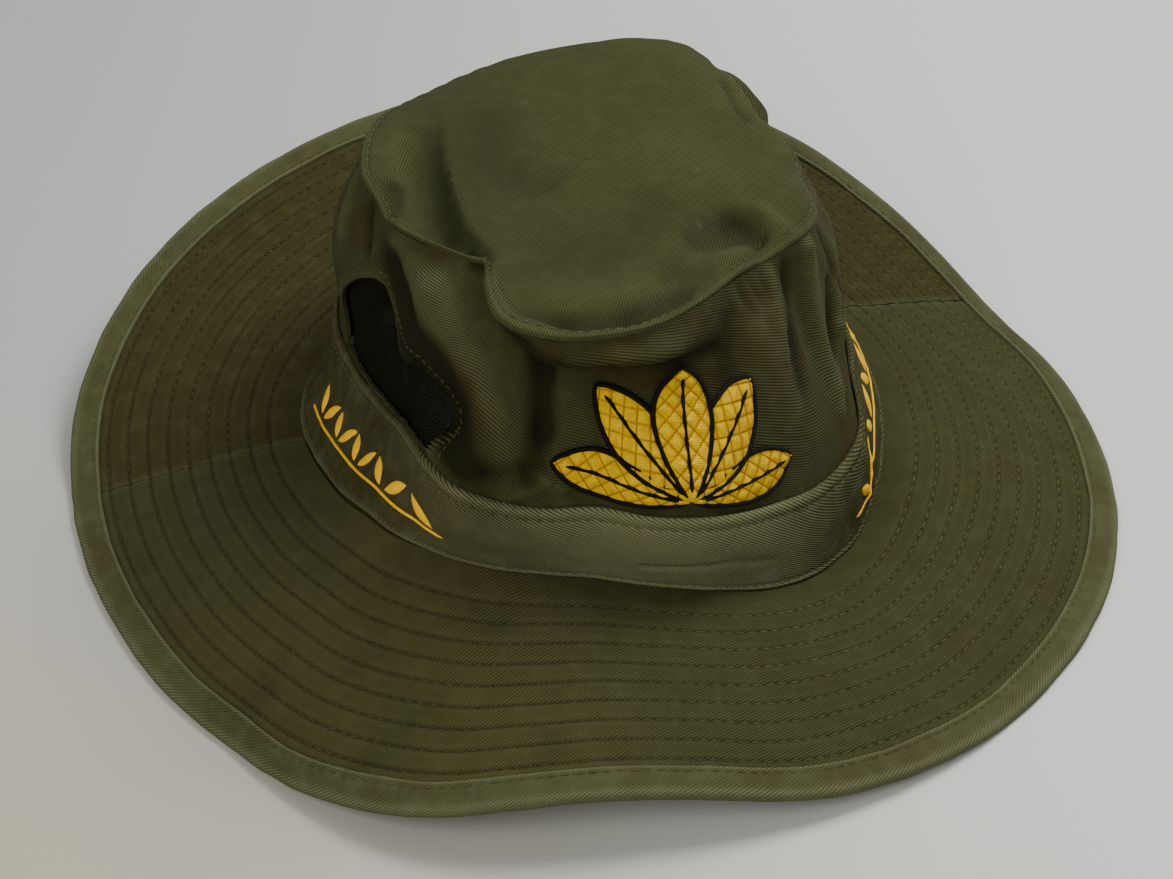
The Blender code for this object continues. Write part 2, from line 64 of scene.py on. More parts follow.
BAND_OFF = CLEARANCE + BAND_CLOTH
BINDING_HALF = BRIM_THICK / 2 + CLEARANCE + BINDING_CLOTH
BINDING_NOSE = CLEARANCE
BRIM_CLOTH = BRIM_WIDTH - BINDING_NOSE - BINDING_HALF  # the brim without its binding

# Side vents: a half oval of net, flat side on the band
VENT_WIDTH = 0.070
VENT_HEIGHT = 0.035
VENT_LIFT = 0.0020  # cloth left between the band and the vent
VENT_FULLNESS = 0.8  # 1 makes the half oval an ellipse, less makes its shoulders fuller
VENT_LAP = 0.0025  # net behind the cloth round the vent
VENT_MIDDLE = VENT_LIFT + 0.3 * VENT_HEIGHT
VENT_HEM = 0.0029  # from the vent's edge to the stitches of its hem
VENT_TURNS = {"left": -76.5, "right": 98.0}
NET_GAP = 0.0009  # between the net and the cloth in front of it
NET_PITCH = 0.00096
NET_WIRE = 0.00046
NET_STEP = 0.00135  # length of a piece of a strand
NET_SPAN = 0.06  # half the square that the strands are drawn on before they are cut to the vent
NET_MIDDLE = (0.0, 0.02)  # middle of that square, across and up

# Front embroidery: leaves that fan out from one foot
LEAF_TURN = -2.0
LEAF_LIFT = 0.0032  # the fan's foot above the band
LEAF_ROOT = 0.0035  # from the fan's foot up to the leaves
LEAF_LAYER = 0.00028  # rise from one layer of leaves to the next
LEAF_ORDER = ((0, 0), (4, 0), (1, 1), (3, 1), (2, 3))  # row of LEAVES, and the layer it lies in
QUILT = 5.4  # from one quilted line to the next, in millimetres
LEAVES = (
    # lean in degrees from upright, length and width in metres
    (-78, 0.039, 0.013),
    (-40, 0.039, 0.016),
    (0, 0.038, 0.018),
    (40, 0.039, 0.016),
    (78, 0.039, 0.013),
)

# The hat section by section. turn: degrees from the front, positive towards +X.
# foot_reach, band_reach and seam_reach: shares of HEAD_RADIUS, out from the middle.
# foot_rise: share of BRIM_WIDTH, above the table. droop: degrees that the brim falls outwards.
# band_rise: share of BAND_HEIGHT, and seam_rise: share of CROWN_HEIGHT, both above the foot.
# waist_push: share of CROWN_HEIGHT that the side stands out between band and seam.
SECTION_COLUMNS = (
    "turn", "foot_reach", "foot_rise", "droop",
    "band_reach", "band_rise", "waist_push", "seam_reach", "seam_rise",
)
SECTIONS = (
    (-180, 1.07, 0.29, -14.5, 1.01, 0.97, 0.06, 0.96, 0.74),
    (-160, 1.03, 0.27, -10.5, 0.98, 0.97, 0.06, 0.87, 0.81),
    (-140, 0.99, 0.26, -3.0, 0.91, 0.98, 0.04, 0.77, 0.92),
    (-122, 0.96, 0.25, 6.5, 0.83, 1.08, 0.05, 0.72, 0.98),
    (-106, 0.92, 0.28, 16.0, 0.77, 1.06, 0.06, 0.70, 0.96),
    (-95, 0.91, 0.35, 20.5, 0.75, 0.93, 0.04, 0.67, 0.90),
    (-82, 0.93, 0.44, 26.0, 0.75, 0.80, 0.02, 0.68, 0.85),
    (-70, 0.98, 0.52, 32.0, 0.79, 0.73, 0.03, 0.67, 0.80),
    (-60, 1.04, 0.60, 36.5, 0.87, 0.75, 0.05, 0.66, 0.75),
    (-52, 1.09, 0.63, 37.0, 0.96, 0.78, 0.02, 0.66, 0.73),
    (-46, 1.10, 0.63, 34.5, 1.05, 0.86, -0.04, 0.68, 0.74),
    (-40, 1.09, 0.61, 30.0, 1.11, 0.86, -0.16, 0.84, 0.78),
    (-34, 1.06, 0.57, 24.5, 1.06, 0.76, -0.18, 0.99, 0.82),
    (-27, 1.00, 0.51, 17.5, 1.01, 0.77, -0.14, 1.01, 0.84),
    (-18, 0.95, 0.45, 12.5, 0.97, 0.86, -0.11, 0.99, 0.88),
    (-8, 0.94, 0.39, 11.5, 1.00, 0.91, -0.07, 0.93, 0.91),
    (4, 0.97, 0.33, 13.5, 1.00, 0.92, -0.02, 0.82, 0.93),
    (18, 0.97, 0.22, 10.0, 0.95, 0.95, 0.03, 0.73, 0.99),
    (32, 0.96, 0.14, 7.5, 0.93, 0.98, 0.02, 0.70, 1.02),
    (47, 0.96, 0.14, 7.5, 0.93, 1.05, -0.02, 0.72, 1.00),
    (62, 0.97, 0.26, 15.0, 0.85, 0.99, 0.02, 0.73, 0.87),
    (77, 0.97, 0.31, 18.0, 0.84, 0.92, 0.04, 0.70, 0.82),
    (92, 0.98, 0.34, 20.0, 0.86, 0.89, 0.06, 0.70, 0.80),
    (106, 0.98, 0.37, 19.0, 0.87, 0.89, 0.10, 0.71, 0.78),
    (122, 1.00, 0.38, 9.0, 0.91, 0.90, 0.10, 0.82, 0.75),
    (137, 1.04, 0.37, -2.0, 0.96, 0.90, 0.08, 0.93, 0.77),
    (152, 1.06, 0.34, -10.0, 0.99, 0.90, 0.06, 0.98, 0.73),
    (166, 1.07, 0.31, -13.5, 1.01, 0.94, 0.06, 0.98, 0.72),
)
BRIM_SEAM_ROWS = (4, 23)  # rows of SECTIONS where the brim's two pieces meet

# Folds pressed into the crown side, on top of its sections: turn, level from 0 at the band to 1
# at the seam, spans in the same units, and the push outwards as a share of CROWN_HEIGHT
SIDE_FOLDS = (
    (-24, 0.86, 12, 0.11, 0.07),
    (-6, 0.86, 12, 0.11, 0.05),
    (44, 0.55, 7, 0.35, -0.05),
    (-62, 0.60, 8, 0.30, 0.03),
    (-76, 0.45, 9, 0.25, -0.03),
    (130, 0.88, 15, 0.12, 0.10),
)
# The same for the crown top, upwards, with 0 in the middle and 1 at the seam
TOP_FOLDS = (
    (28, 0.78, 16, 0.13, -0.06),
    (-165, 0.86, 25, 0.16, -0.03),
    (135, 0.88, 22, 0.16, 0.03),
)

# How finely the solids are divided, which the plan's middle and the vents follow
STEPS_PER_ROW = 3
WAIST_LEVEL = 0.6  # height of the waist between the band at 0 and the seam at 1
KNOTS = (-1.0, 0.0, WAIST_LEVEL, 1.0)  # levels of the foot, the band's top, the waist and the seam
SEAM_FADE = 0.12  # folds fade out this near the seam, as a share of the side or of the top
HUB_FADE = 0.5  # folds of the top fade out this near its middle
RIM_SHARE = 0.97  # a spot of the top just inside its edge
HUB_SHARE = 0.05  # a spot of the top just outside its middle
VENT_STEPS = 64  # along the arch
VENT_BASE_STEPS = 40

# The cloth over the left vent hangs into its arch: share of VENT_HEIGHT left open, at places
# across from the back end at -1 to the front end at 1
VENT_SAG = {
    "left": (
        (-1.0, 1.0), (-0.25, 1.03), (-0.08, 0.98), (0.08, 0.74),
        (0.22, 0.66), (0.45, 0.66), (0.7, 0.66), (0.87, 0.76), (1.0, 1.0),
    ),
    "right": ((-1.0, 1.0), (1.0, 1.0)),
}

# Stitches: from one to the next, length that shows and width of the thread
STITCHES = {
    "brim": (0.0038, 0.0027, 0.00046),
    "binding": (0.0036, 0.0025, 0.00046),
    "top": (0.0036, 0.0024, 0.0005),
    "band": (0.0034, 0.0023, 0.0005),
    "vent": (0.0026, 0.0017, 0.00042),
}
ROW_SPACING = 0.0063
LAST_ROW = 0.0609  # from the foot
STITCH_ROWS = LAST_ROW - ROW_SPACING * np.arange(9)[::-1]  # distances from the foot
BINDING_LINE = 0.0017 - BINDING_WIDTH  # the binding's stitches, in from the brim's own edge
BAND_LINES = (0.003 / BAND_HEIGHT - 1, -0.0026 / BAND_HEIGHT)  # levels of the band's stitches
SIDES = ((0, 1), (1, -1))  # the upper and the lower side of the brim, and the way each faces

# Lengths that turn degrees and levels into metres: mean reach, and height above the band
SIDE_REACH, SIDE_HEIGHT = 0.078, 0.058
TOP_REACH = 0.070
TOP_ROUND = TOP_REACH * 0.85  # mean reach of the top's creases
BAND_REACH = 0.088
BAND_EDGE = 0.015  # level of the band's upper edge
SEAM_ROOM = 0.018  # how far the side may sink in at the band, less and less towards the seam
TOP_LINE = 0.0023  # from the top's edge to its stitches
# The band is paler towards the front: partly faded cloth, partly painted light on its front.
BAND_FADED_AND_LIT = (-4.0, 29.0)  # turn of the band's palest place, and its span in degrees

# How finely the meshes are divided: lines for each row of SECTIONS, and levels from the foot up
# or shares from the edge in
PER_ROW = {"front": 22, "back": 30, "binding": 22, "crown": 17, "band": 16}
SIDE_LEVELS = np.concatenate([
    [-1.03, -1.0, -0.8, -0.55, -0.3, -0.12],
    np.linspace(-0.05, 0.9, 54),
    [0.92, 0.94, 0.96, 0.975, 0.99, 1.0],
])
TOP_SHARES = np.concatenate([
    1 - np.linspace(0, 0.09, 15), 1 - np.linspace(0.10, 0.2, 8), np.linspace(0.78, 0.06, 32), [0.03, 0.004]
])
BAND_LOWEST = -1 + (BRIM_THICK / 2 + CLEARANCE) / BAND_HEIGHT
BAND_LEVELS = np.concatenate([
    np.linspace(BAND_LOWEST, -0.8, 12), np.linspace(-0.78, -0.14, 20), np.linspace(-0.12, BAND_EDGE, 14)
])

# Creases in the cloth, straight between two spots: turn, level, turn and level of the end,
# width and outward push in metres
SIDE_CREASES = (
    # the lit ridge at the left of the front
    (-77, 0.92, -58, 0.80, 0.0050, 0.0018),
    (-58, 0.80, -45, 0.54, 0.0050, 0.0022),
    (-45, 0.54, -36, 0.38, 0.0050, 0.0020),
    (-36, 0.38, -33, 0.20, 0.0040, 0.0012),
    # the hollow between the ridge and the vent
    (-66, 0.62, -47, 0.26, 0.0065, -0.0046),
    (-47, 0.26, -40, 0.12, 0.0050, -0.0024),
    (-76, 0.80, -66, 0.62, 0.0060, -0.0032),
    # the deep line at the ridge's right, from the seam down to the band
    (-50, 1.00, -39, 0.97, 0.0024, -0.0020),
    (-39, 0.97, -33, 0.93, 0.0026, -0.0030),
    (-33, 0.90, -29, 0.62, 0.0034, -0.0034),
    (-29, 0.62, -28, 0.36, 0.0034, -0.0022),
    (-28, 0.36, -29, 0.14, 0.0026, -0.0012),
    # the roll under the top's seam and the groove below it
    (-24, 0.93, -14, 0.90, 0.0032, 0.0006),
    (-14, 0.90, -4, 0.86, 0.0036, 0.0008),
    (-31, 0.90, -25, 0.83, 0.0030, -0.0036),
    (-25, 0.83, -16, 0.79, 0.0032, -0.0042),
    (-16, 0.79, -5, 0.775, 0.0030, -0.0026),
    (-5, 0.775, 7, 0.76, 0.0028, -0.0016),
    # the crumple at the ridge's foot
    (-28, 0.18, -24, 0.12, 0.0014, 0.0014),
    (-33, 0.04, -27, 0.15, 0.0016, 0.0013),
    (-36, 0.14, -31, 0.20, 0.0018, -0.0012),
    # upright folds of the right wall
    (39, 0.90, 40, 0.80, 0.0042, -0.0014),
    (40, 0.80, 34, 0.62, 0.0050, -0.0018),
    (34, 0.62, 32, 0.46, 0.0040, -0.0014),
    (50, 0.96, 48, 0.24, 0.0034, 0.0022),
    (57, 0.66, 48, 0.22, 0.0026, -0.0020),
    (67, 0.78, 55, 0.44, 0.0016, 0.0014),
    (55, 0.44, 45, 0.18, 0.0016, 0.0014),
    (62, 0.92, 61, 0.50, 0.0024, -0.0016),
    (31, 0.93, 28, 0.62, 0.0026, 0.0010),
    (13, 0.97, 15, 0.86, 0.0010, -0.0005),
    (18, 0.97, 20, 0.84, 0.0010, -0.0007),
    (22, 0.97, 25, 0.88, 0.0011, -0.0006),
    (28, 0.97, 29, 0.86, 0.0012, -0.0006),
    (12, 0.86, 9, 0.62, 0.0044, -0.0014),
    (22, 0.74, 27, 0.40, 0.0050, 0.0008),
    # the back
    (110, 0.90, 122, 0.60, 0.0044, -0.0022),
    (122, 0.60, 126, 0.20, 0.0044, -0.0014),
    (150, 0.85, 165, 0.50, 0.0044, -0.0018),
    (-170, 0.90, -176, 0.40, 0.0050, -0.0016),
    (-150, 0.85, -135, 0.50, 0.0044, -0.0018),
    (-112, 0.98, -104, 0.72, 0.0026, 0.0016),
    (-98, 0.94, -92, 0.76, 0.0026, -0.0018),
)
# Painted shade on the side, in its hollows and under the roll of the top: places as above, width in metres,
# last the share, painted light (paler) below 0
SIDE_PAINTED_SHADING = (
    (-80, 0.84, -68, 0.62, 0.0075, 0.60),
    (-68, 0.62, -52, 0.36, 0.0080, 0.72),
    (-52, 0.36, -42, 0.14, 0.0060, 0.55),
    (-24, 0.90, 6, 0.86, 0.0050, 0.40),
    (-33, 0.70, -31, 0.20, 0.0045, 0.30),
    (-68, 0.84, -45, 0.54, 0.0040, -0.22),
    (38, 0.90, 56, 0.70, 0.0120, -0.25),
)
# Creases of the top, upwards, with 0 in the middle and 1 at the seam
TOP_CREASES = (
    (-39, 0.94, -27, 0.95, 0.0034, 0.0016),
    # the hollow along the front seam and the dent at its right
    (-30, 0.88, -24, 0.89, 0.0030, -0.0016),
    (-24, 0.89, -12, 0.905, 0.0034, -0.0026),
    (-12, 0.905, 2, 0.93, 0.0030, -0.0024),
    (-26, 0.74, -8, 0.78, 0.0060, 0.0010),
    (20, 0.72, 37, 0.77, 0.0056, -0.0015),
    (37, 0.77, 36, 0.90, 0.0042, -0.0017),
    (36, 0.90, 30, 0.95, 0.0030, -0.0014),
    (46, 0.80, 43, 0.95, 0.0030, 0.0014),
    (25, 0.86, 16, 0.84, 0.0050, 0.0010),
    (10, 0.88, 2, 0.80, 0.0050, -0.0012),
    # the roll at the back right
    (83, 0.92, 122, 0.92, 0.0030, 0.0018),
    (92, 0.97, 116, 0.98, 0.0018, -0.0022),
    (100, 0.86, 118, 0.84, 0.0024, -0.0016),
    (150, 0.80, 110, 0.78, 0.0060, 0.0010),
    # wide, shallow waves of the middle
    (-150, 0.50, -60, 0.30, 0.0120, -0.0012),
    (60, 0.50, 100, 0.30, 0.0120, 0.0010),
    (20, 0.45, -30, 0.52, 0.0110, -0.0010),
    (-100, 0.90, -86, 0.97, 0.0030, -0.0020),
    (-125, 0.86, -108, 0.84, 0.0050, 0.0014),
)
# Faint marks on the top and painted shade lines: two places, width, and how much paler the cloth is there;
# below 0 it is darker, painted shade along the front seam and at the end of the deep line
TOP_MARKS_AND_SHADE = (
    (56, 0.47, 60, 0.49, 0.0008, 0.55),
    (-171, 0.43, -168, 0.42, 0.0007, 0.45),
    (27, 0.66, 27.6, 0.665, 0.0006, 0.9),
    (-32, 0.93, -12, 0.945, 0.0022, -0.35),
    (22, 0.88, 30, 0.93, 0.0020, 0.30),
    (-56, 0.89, -44, 0.96, 0.0020, -0.5),
)

# The fold across the left of the top: its spots, and how deep it lies at each
FOLD_SPOTS = (
    # turn, share of the way to the seam, depth in metres
    (-137, 0.76, 0.0006),
    (-122, 0.74, 0.0034),
    (-104, 0.72, 0.0060),
    (-84, 0.77, 0.0070),
    (-68, 0.87, 0.0068),
    (-58, 0.93, 0.0046),
    (-50, 0.985, 0.0010),
)
FOLD_OUTSIDE = 0.018  # how far the cloth takes to rise again towards the seam
FOLD_INSIDE = 0.0066  # and towards the middle
FOLD_DEEPEST = max(depth for _, _, depth in FOLD_SPOTS)

# Creases of the band, outwards, with -1 at its foot and 0 at its top
BAND_CREASES = (
    (-10, -0.62, 7, -0.50, 0.0012, -0.0009),
    (7, -0.50, 16, -0.55, 0.0012, -0.0006),
    (-30, -0.30, -22, -0.75, 0.0025, -0.0006),
    (38, -0.20, 41, -0.80, 0.0016, -0.0007),
    (47, -0.15, 49, -0.70, 0.0016, 0.0006),
    (54, -0.30, 55, -0.85, 0.0016, -0.0006),
    (-52, -0.20, -47, -0.80, 0.0030, -0.0006),
    (-100, -0.35, -80, -0.42, 0.0014, -0.0004),
)

# Rows of small leaves on the band: turn of the middle, how many, height above the brim, size
LEAF_ROWS = (
    (-76, 9, 0.0150, 0.0085),
    (70, 8, 0.0150, 0.0085),
)
ROW_SPREAD = 0.0088  # from one leaf to the next

SECTION = dict(zip(SECTION_COLUMNS, np.array(SECTIONS, float).T))
ROWS = len(SECTIONS)


def curve(start, end, slope_in, slope_out, share):
    """A smooth curve from start to end with these slopes."""
    square, cube = share**2, share**3
    return (
        start * (2 * cube - 3 * square + 1)
        + slope_in * (cube - 2 * square + share)
        + end * (3 * square - 2 * cube)
        + slope_out * (cube - square)
    )


def column(name, place, lap=0.0):
    """A column of SECTIONS as a closed smooth curve. place counts rows, lap is added at each round."""
    place = np.asarray(place, float)
    base = np.floor(place)

    def at(offset):
        row = base + offset
        return SECTION[name][(row % ROWS).astype(int)] + lap * np.floor(row / ROWS)

    before, start, end, after = at(-1), at(0), at(1), at(2)
    return curve(start, end, (end - before) / 2, (after - start) / 2, place - base)


def turn_at(place):
    return column("turn", place, 360.0)


PLACES = np.linspace(-ROWS, 2 * ROWS, 3 * ROWS * 20 + 1)
TURNS = turn_at(PLACES)


def place_of(turn):
    """The place in rows where the section has this turn."""
    return np.interp(turn, TURNS, PLACES)


def outwards(turn):
    """Level direction that points out from the middle at a turn."""
    angle = np.radians(turn)
    return np.stack([np.sin(angle), -np.cos(angle), np.zeros_like(angle)], axis=-1)


def point(turn, reach, height):
    points = outwards(turn) * np.expand_dims(reach, -1)
    points[..., 2] = height
    return points


def bump(distance, span):
    return np.exp(-((distance / span) ** 2))


def apart(turn, middle):
    """Degrees between two turns, the short way round."""
    return (turn - middle + 180.0) % 360.0 - 180.0


def matched(*values):
    """Numbers or arrays as arrays of one shape."""
    return np.broadcast_arrays(*(np.asarray(value, float) for value in values))


def unit(vectors):
    return vectors / np.linalg.norm(vectors, axis=-1, keepdims=True)


def foot(place):
    """Reach and height of the crown's foot."""
    return column("foot_reach", place) * HEAD_RADIUS, column("foot_rise", place) * BRIM_WIDTH


def droop(place):
    """Slope of the brim in radians. It never falls so far that the binding enters the table."""
    _, height = foot(place)
    slope = np.radians(column("droop", place))
    lowest = BINDING_HALF + BINDING_NOSE * np.sin(np.maximum(slope, 0)) - FLATTENED
    return np.minimum(slope, np.arcsin(np.clip((height - lowest) / BRIM_CLOTH, -1, 1)))


def brim(place, out, lift=0.0):
    """A point of the brim. out: metres from the foot, lift: metres above its middle layer."""
    reach, height = foot(place)
    slope = droop(place)
    share = out / BRIM_CLOTH
    above = lift + 4 * BRIM_SWELL * share * (1 - share)
    return point(
        turn_at(place),
        reach + out * np.cos(slope) + above * np.sin(slope),
        height - out * np.sin(slope) + above * np.cos(slope),
    )


def hermite(values, level):
    """A smooth curve through one value for each of KNOTS."""
    last = len(KNOTS) - 1
    slopes = []
    for i in range(last + 1):
        before, after = max(i - 1, 0), min(i + 1, last)
        slopes.append((values[after] - values[before]) / (KNOTS[after] - KNOTS[before]))
    for i in range(last):
        span = KNOTS[i + 1] - KNOTS[i]
        share = (level - KNOTS[i]) / span
        piece = curve(values[i], values[i + 1], slopes[i] * span, slopes[i + 1] * span, share)
        result = np.where(level >= KNOTS[i], piece, result) if i else piece
    return result


def side_line(place):
    """Reach and height of foot, band top, waist and seam at a place."""
    foot_reach, foot_height = foot(place)
    band_reach = column("band_reach", place) * HEAD_RADIUS
    band_height = foot_height + column("band_rise", place) * BAND_HEIGHT
    seam_reach = column("seam_reach", place) * HEAD_RADIUS
    seam_height = foot_height + column("seam_rise", place) * CROWN_HEIGHT
    waist_reach = band_reach + (seam_reach - band_reach) * WAIST_LEVEL
    waist_reach = waist_reach + column("waist_push", place) * CROWN_HEIGHT
    waist_height = band_height + (seam_height - band_height) * WAIST_LEVEL
    return (
        (foot_reach, band_reach, waist_reach, seam_reach),
        (foot_height, band_height, waist_height, seam_height),
    )


SOLID_PLACES = np.linspace(0, ROWS, ROWS * STEPS_PER_ROW, endpoint=False)
SEAM_MEAN = side_line(SOLID_PLACES)[1][3].mean()


def fold_push(folds, turn, level):
    """Push of the folds in metres. It fades out at the seam."""
    push = 0.0
    for fold_turn, fold_level, turn_span, level_span, share in folds:
        across = bump(apart(turn, fold_turn), turn_span)
        push = push + share * CROWN_HEIGHT * across * bump(level - fold_level, level_span)
    return push * np.clip((1 - level) / SEAM_FADE, 0, 1)


def side_points(place, level):
    """The crown side. level: -1 at the foot, 0 at the top of the band, 1 under the top's edge."""
    place, level = matched(place, level)
    reaches, heights = side_line(place)
    under_reach, under_height = under_top(place)
    turn = turn_at(place)
    reach = hermite((*reaches[:3], under_reach), level) + fold_push(SIDE_FOLDS, turn, level)
    return point(turn, reach, hermite((*heights[:3], under_height), level))


def top_points(place, share):
    """The crown top. share: 0 in the middle, 1 at the seam."""
    place, share = matched(place, share)
    reaches, heights = side_line(place)
    turn = turn_at(place)
    middle = SEAM_MEAN + DOME_RISE
    height = middle + (heights[3] - middle) * share**TOP_FLATNESS
    height = height + fold_push(TOP_FOLDS, turn, share) * np.clip(share / HUB_FADE, 0, 1)
    return point(turn, reaches[3] * share, height)


def normals(surface, place, level, step=1e-3):
    """Unit normals of a surface function, by small steps along and across."""
    along = surface(place + step, level) - surface(place - step, level)
    across = surface(place, level + step) - surface(place, level - step)
    return unit(np.cross(along, across))


def top_normals(place, share):
    """Unit normals of the crown top, upwards, near its edge those of a spot just inside."""
    place, share = matched(place, share)
    lift = normals(top_points, place, np.clip(share, HUB_SHARE, RIM_SHARE))
    return lift * np.sign(lift[..., 2:])


def under_top(place):
    """Reach and height just clear of the underside of the top's edge, where the side's cloth ends."""
    edge = top_points(place, 1.0) - top_normals(place, 1.0) * (CROWN_CLOTH + SEAM_GAP)
    return (edge * outwards(turn_at(place))).sum(axis=-1), edge[..., 2]


def off_side(place, level, lift):
    """A spot of the crown side moved out by lift metres, and its normal."""
    away = normals(side_points, place, level)
    return side_points(place, level) + away * np.expand_dims(lift, -1), away


def slope_at(turn):
    """Reach of the band's top at a turn, and the length of the side's slope above it."""
    reaches, heights = side_line(place_of(turn))
    return reaches[1], math.hypot(heights[3] - heights[1], reaches[3] - reaches[1])


def on_side(turn, across, up):
    """Place and level of a spot given in metres: across from a turn, up from the band's top."""
    reach, slope = slope_at(turn)
    return place_of(turn + np.degrees(across / reach)), up / slope


def vent_outline(grow, name):
    """The vent's half oval in metres across and up, larger by grow but not far below the band's top."""
    lowest = max(VENT_LIFT - grow, -CLEARANCE)
    half = VENT_WIDTH / 2 + grow
    angles = np.linspace(0, math.pi, VENT_STEPS + 1)
    sag = np.interp(np.cos(angles), *zip(*VENT_SAG[name]))
    tallest = VENT_LIFT + VENT_HEIGHT * sag + grow - lowest
    arch = np.stack([half * np.cos(angles), lowest + tallest * np.sin(angles) ** VENT_FULLNESS], axis=-1)
    base = np.linspace(-half, half, VENT_BASE_STEPS + 1)[1:-1]
    return np.concatenate([arch, np.stack([base, np.full(len(base), lowest)], axis=-1)])


EDGE = brim(SOLID_PLACES, BRIM_CLOTH)
SHIFT = (EDGE.min(axis=0) + EDGE.max(axis=0)) / 2 * (1, 1, 0)  # middle of the plan, put over the origin


def grain(turn, degrees, y, seed):
    """Smooth noise from -1 to 1 round the hat, with one knot every so many degrees."""
    wrap, height = math.ceil(360 / degrees), 64  # knots round the hat, and up
    knots = np.random.default_rng(seed).uniform(-1, 1, (wrap, height))
    x, y = matched(turn / degrees, y)
    left, low = np.floor(x), np.floor(y)
    across, up = (share * share * (3 - 2 * share) for share in (x - left, y - low))

    def at(i, j):
        return knots[(left + i).astype(int) % wrap, (low + j).astype(int) % height]

    lower = at(0, 0) * (1 - across) + at(1, 0) * across
    upper = at(0, 1) * (1 - across) + at(1, 1) * across
    return lower * (1 - up) + upper * up


def arc_lengths(points):
    """Length along each line of a grid of points, from its first point."""
    steps = np.linalg.norm(np.diff(points, axis=-2), axis=-1)
    start = np.zeros((*steps.shape[:-1], 1))
    return np.concatenate([start, np.cumsum(steps, axis=-1)], axis=-1)


def linked(name, data):
    made = bpy.data.objects.new(name, data)
    bpy.context.scene.collection.objects.link(made)
    return made


def object_of(name, points, faces, uvs, finish, slot, node=None, wear_and_shading=None):
    """A mesh of quads over the origin. uvs: one pair in millimetres for each corner of a face."""
    mesh = bpy.data.meshes.new(name)
    mesh.from_pydata((points - SHIFT).tolist(), [], faces.tolist())
    mesh.uv_layers.new(name="cloth").data.foreach_set("uv", uvs.astype(np.float32).ravel())
    # This attribute holds real wear and painted light together: paler above 0 for rubbed cloth and painted
    # highlights, darker below 0 for painted shade.
    if wear_and_shading is not None:
        worn = mesh.attributes.new("wear_and_shading", "FLOAT", "POINT")
        worn.data.foreach_set("value", wear_and_shading.astype(np.float32).ravel())
    shape = bmesh.new()
    shape.from_mesh(mesh)
    bmesh.ops.recalc_face_normals(shape, faces=shape.faces)
    shape.to_mesh(mesh)
    shape.free()
    mesh.shade_smooth()
    mesh.set_sharp_from_angle(angle=math.radians(SHARP_ANGLE))
    mesh.materials.append(finish)
    made = linked(name, mesh)
    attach(made, "root")
    if node:
        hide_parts(node)


def joined(name, parts, finish, slot, node=None):
    """One object from several sets of points, faces and uvs."""
    points, faces, uvs = zip(*parts)
    starts = np.cumsum([0] + [len(part) for part in points[:-1]])
    faces = [part + start for part, start in zip(faces, starts)]
    object_of(name, *(np.concatenate(rows) for rows in (points, faces, uvs)), finish, slot, node)


def quads(lines, spots):
    """Line and spot of the four corners of each face, in a grid with so many faces."""
    line = np.arange(lines)[:, None, None] + np.array([0, 0, 1, 1])
    spot = np.arange(spots)[:, None] + np.array([0, 1, 1, 0])
    return np.broadcast_arrays(line, spot)


def skin(lines, corners, along, around):
    """Faces round a rod, and their uvs from one value for each line and one for each corner."""
    line, spot = quads(lines - 1, corners)
    faces = line * corners + spot % corners
    uvs = np.stack([along[line], around[spot]], axis=-1)
    return faces.reshape(-1, 4), uvs.reshape(-1, 4, 2)


def caps(corners, lines):
    """Faces that close both ends of a rod."""
    near = np.array([(0, k, k + 1, k + 2) for k in range(1, corners - 2, 2)])
    return np.concatenate([near, (lines - 1) * corners + near[:, [0, 3, 2, 1]]])


def shell(name, outer, inner, uv, finish, slot, node, wear_and_shading, ring=True, keep=None):
    """Cloth between two grids of points, with walls along every open edge."""
    lines, count = outer.shape[:2]
    line, spot = quads(lines - 1, count if ring else count - 1)
    if keep is None:
        keep = np.full(line.shape[:2], True)
    corners, spreads = (line * count + spot % count)[keep], uv[line, spot][keep]
    under = lines * count
    ends = np.stack([corners, np.roll(corners, -1, axis=1)], axis=-1).reshape(-1, 2)
    turned = np.stack([np.roll(spreads, -1, axis=1), spreads], axis=-2).reshape(-1, 2, 2)
    border = ~np.isin(ends @ (under, 1), ends @ (1, under))
    ends, turned = ends[border], turned[border]
    faces = [corners, corners[:, ::-1] + under, np.concatenate([ends[:, ::-1], ends + under], axis=1)]
    uvs = [spreads, spreads[:, ::-1], np.concatenate([turned, turned[:, ::-1] + 1.0], axis=1)]
    points = np.concatenate([outer.reshape(-1, 3), inner.reshape(-1, 3)])
    used, faces = np.unique(np.concatenate(faces), return_inverse=True)
    wear_and_shading = np.concatenate([wear_and_shading.ravel()] * 2)[used]
    object_of(name, points[used], faces.reshape(-1, 4), np.concatenate(uvs), finish, slot, node, wear_and_shading)


def capsules(centres, tangents, ups, lengths, width, rings=(0.3, 0.85, 1, 0.85, 0.3), arch=0.35):
    """Short threads, each a rod that bows up in its middle and dips at its ends."""
    across = unit(np.cross(tangents, ups))
    ups = unit(np.cross(across, tangents))
    sides = 4
    shares = np.linspace(-0.5, 0.5, len(rings))[:, None]
    angles = np.arange(sides) * 2 * math.pi / sides
    radii = np.array(rings, float)[:, None] * width / 2
    rise = (arch * (1 - (2 * shares) ** 2) - arch / 2) * width
    points = (
        centres[:, None, None]
        + tangents[:, None, None] * (shares * lengths[:, None, None])[..., None]
        + ups[:, None, None] * (rise + radii * np.sin(angles))[..., None]
        + across[:, None, None] * (radii * np.cos(angles))[..., None]
    )
    line, spot = quads(len(rings) - 1, sides)
    body = (line * sides + spot % sides).reshape(-1, 4)
    pattern = np.concatenate([body, caps(sides, len(rings))])
    number = np.arange(len(centres))[:, None, None]
    spot_uv = np.stack(np.broadcast_arrays(shares * 3.0, angles / math.pi), axis=-1).reshape(-1, 2)
    uvs = spot_uv[pattern] + number[..., None] * np.array([0.37, 0.11])
    faces = (number * len(rings) * sides + pattern).reshape(-1, 4)
    return points.reshape(-1, 3), faces, uvs.reshape(-1, 4, 2)


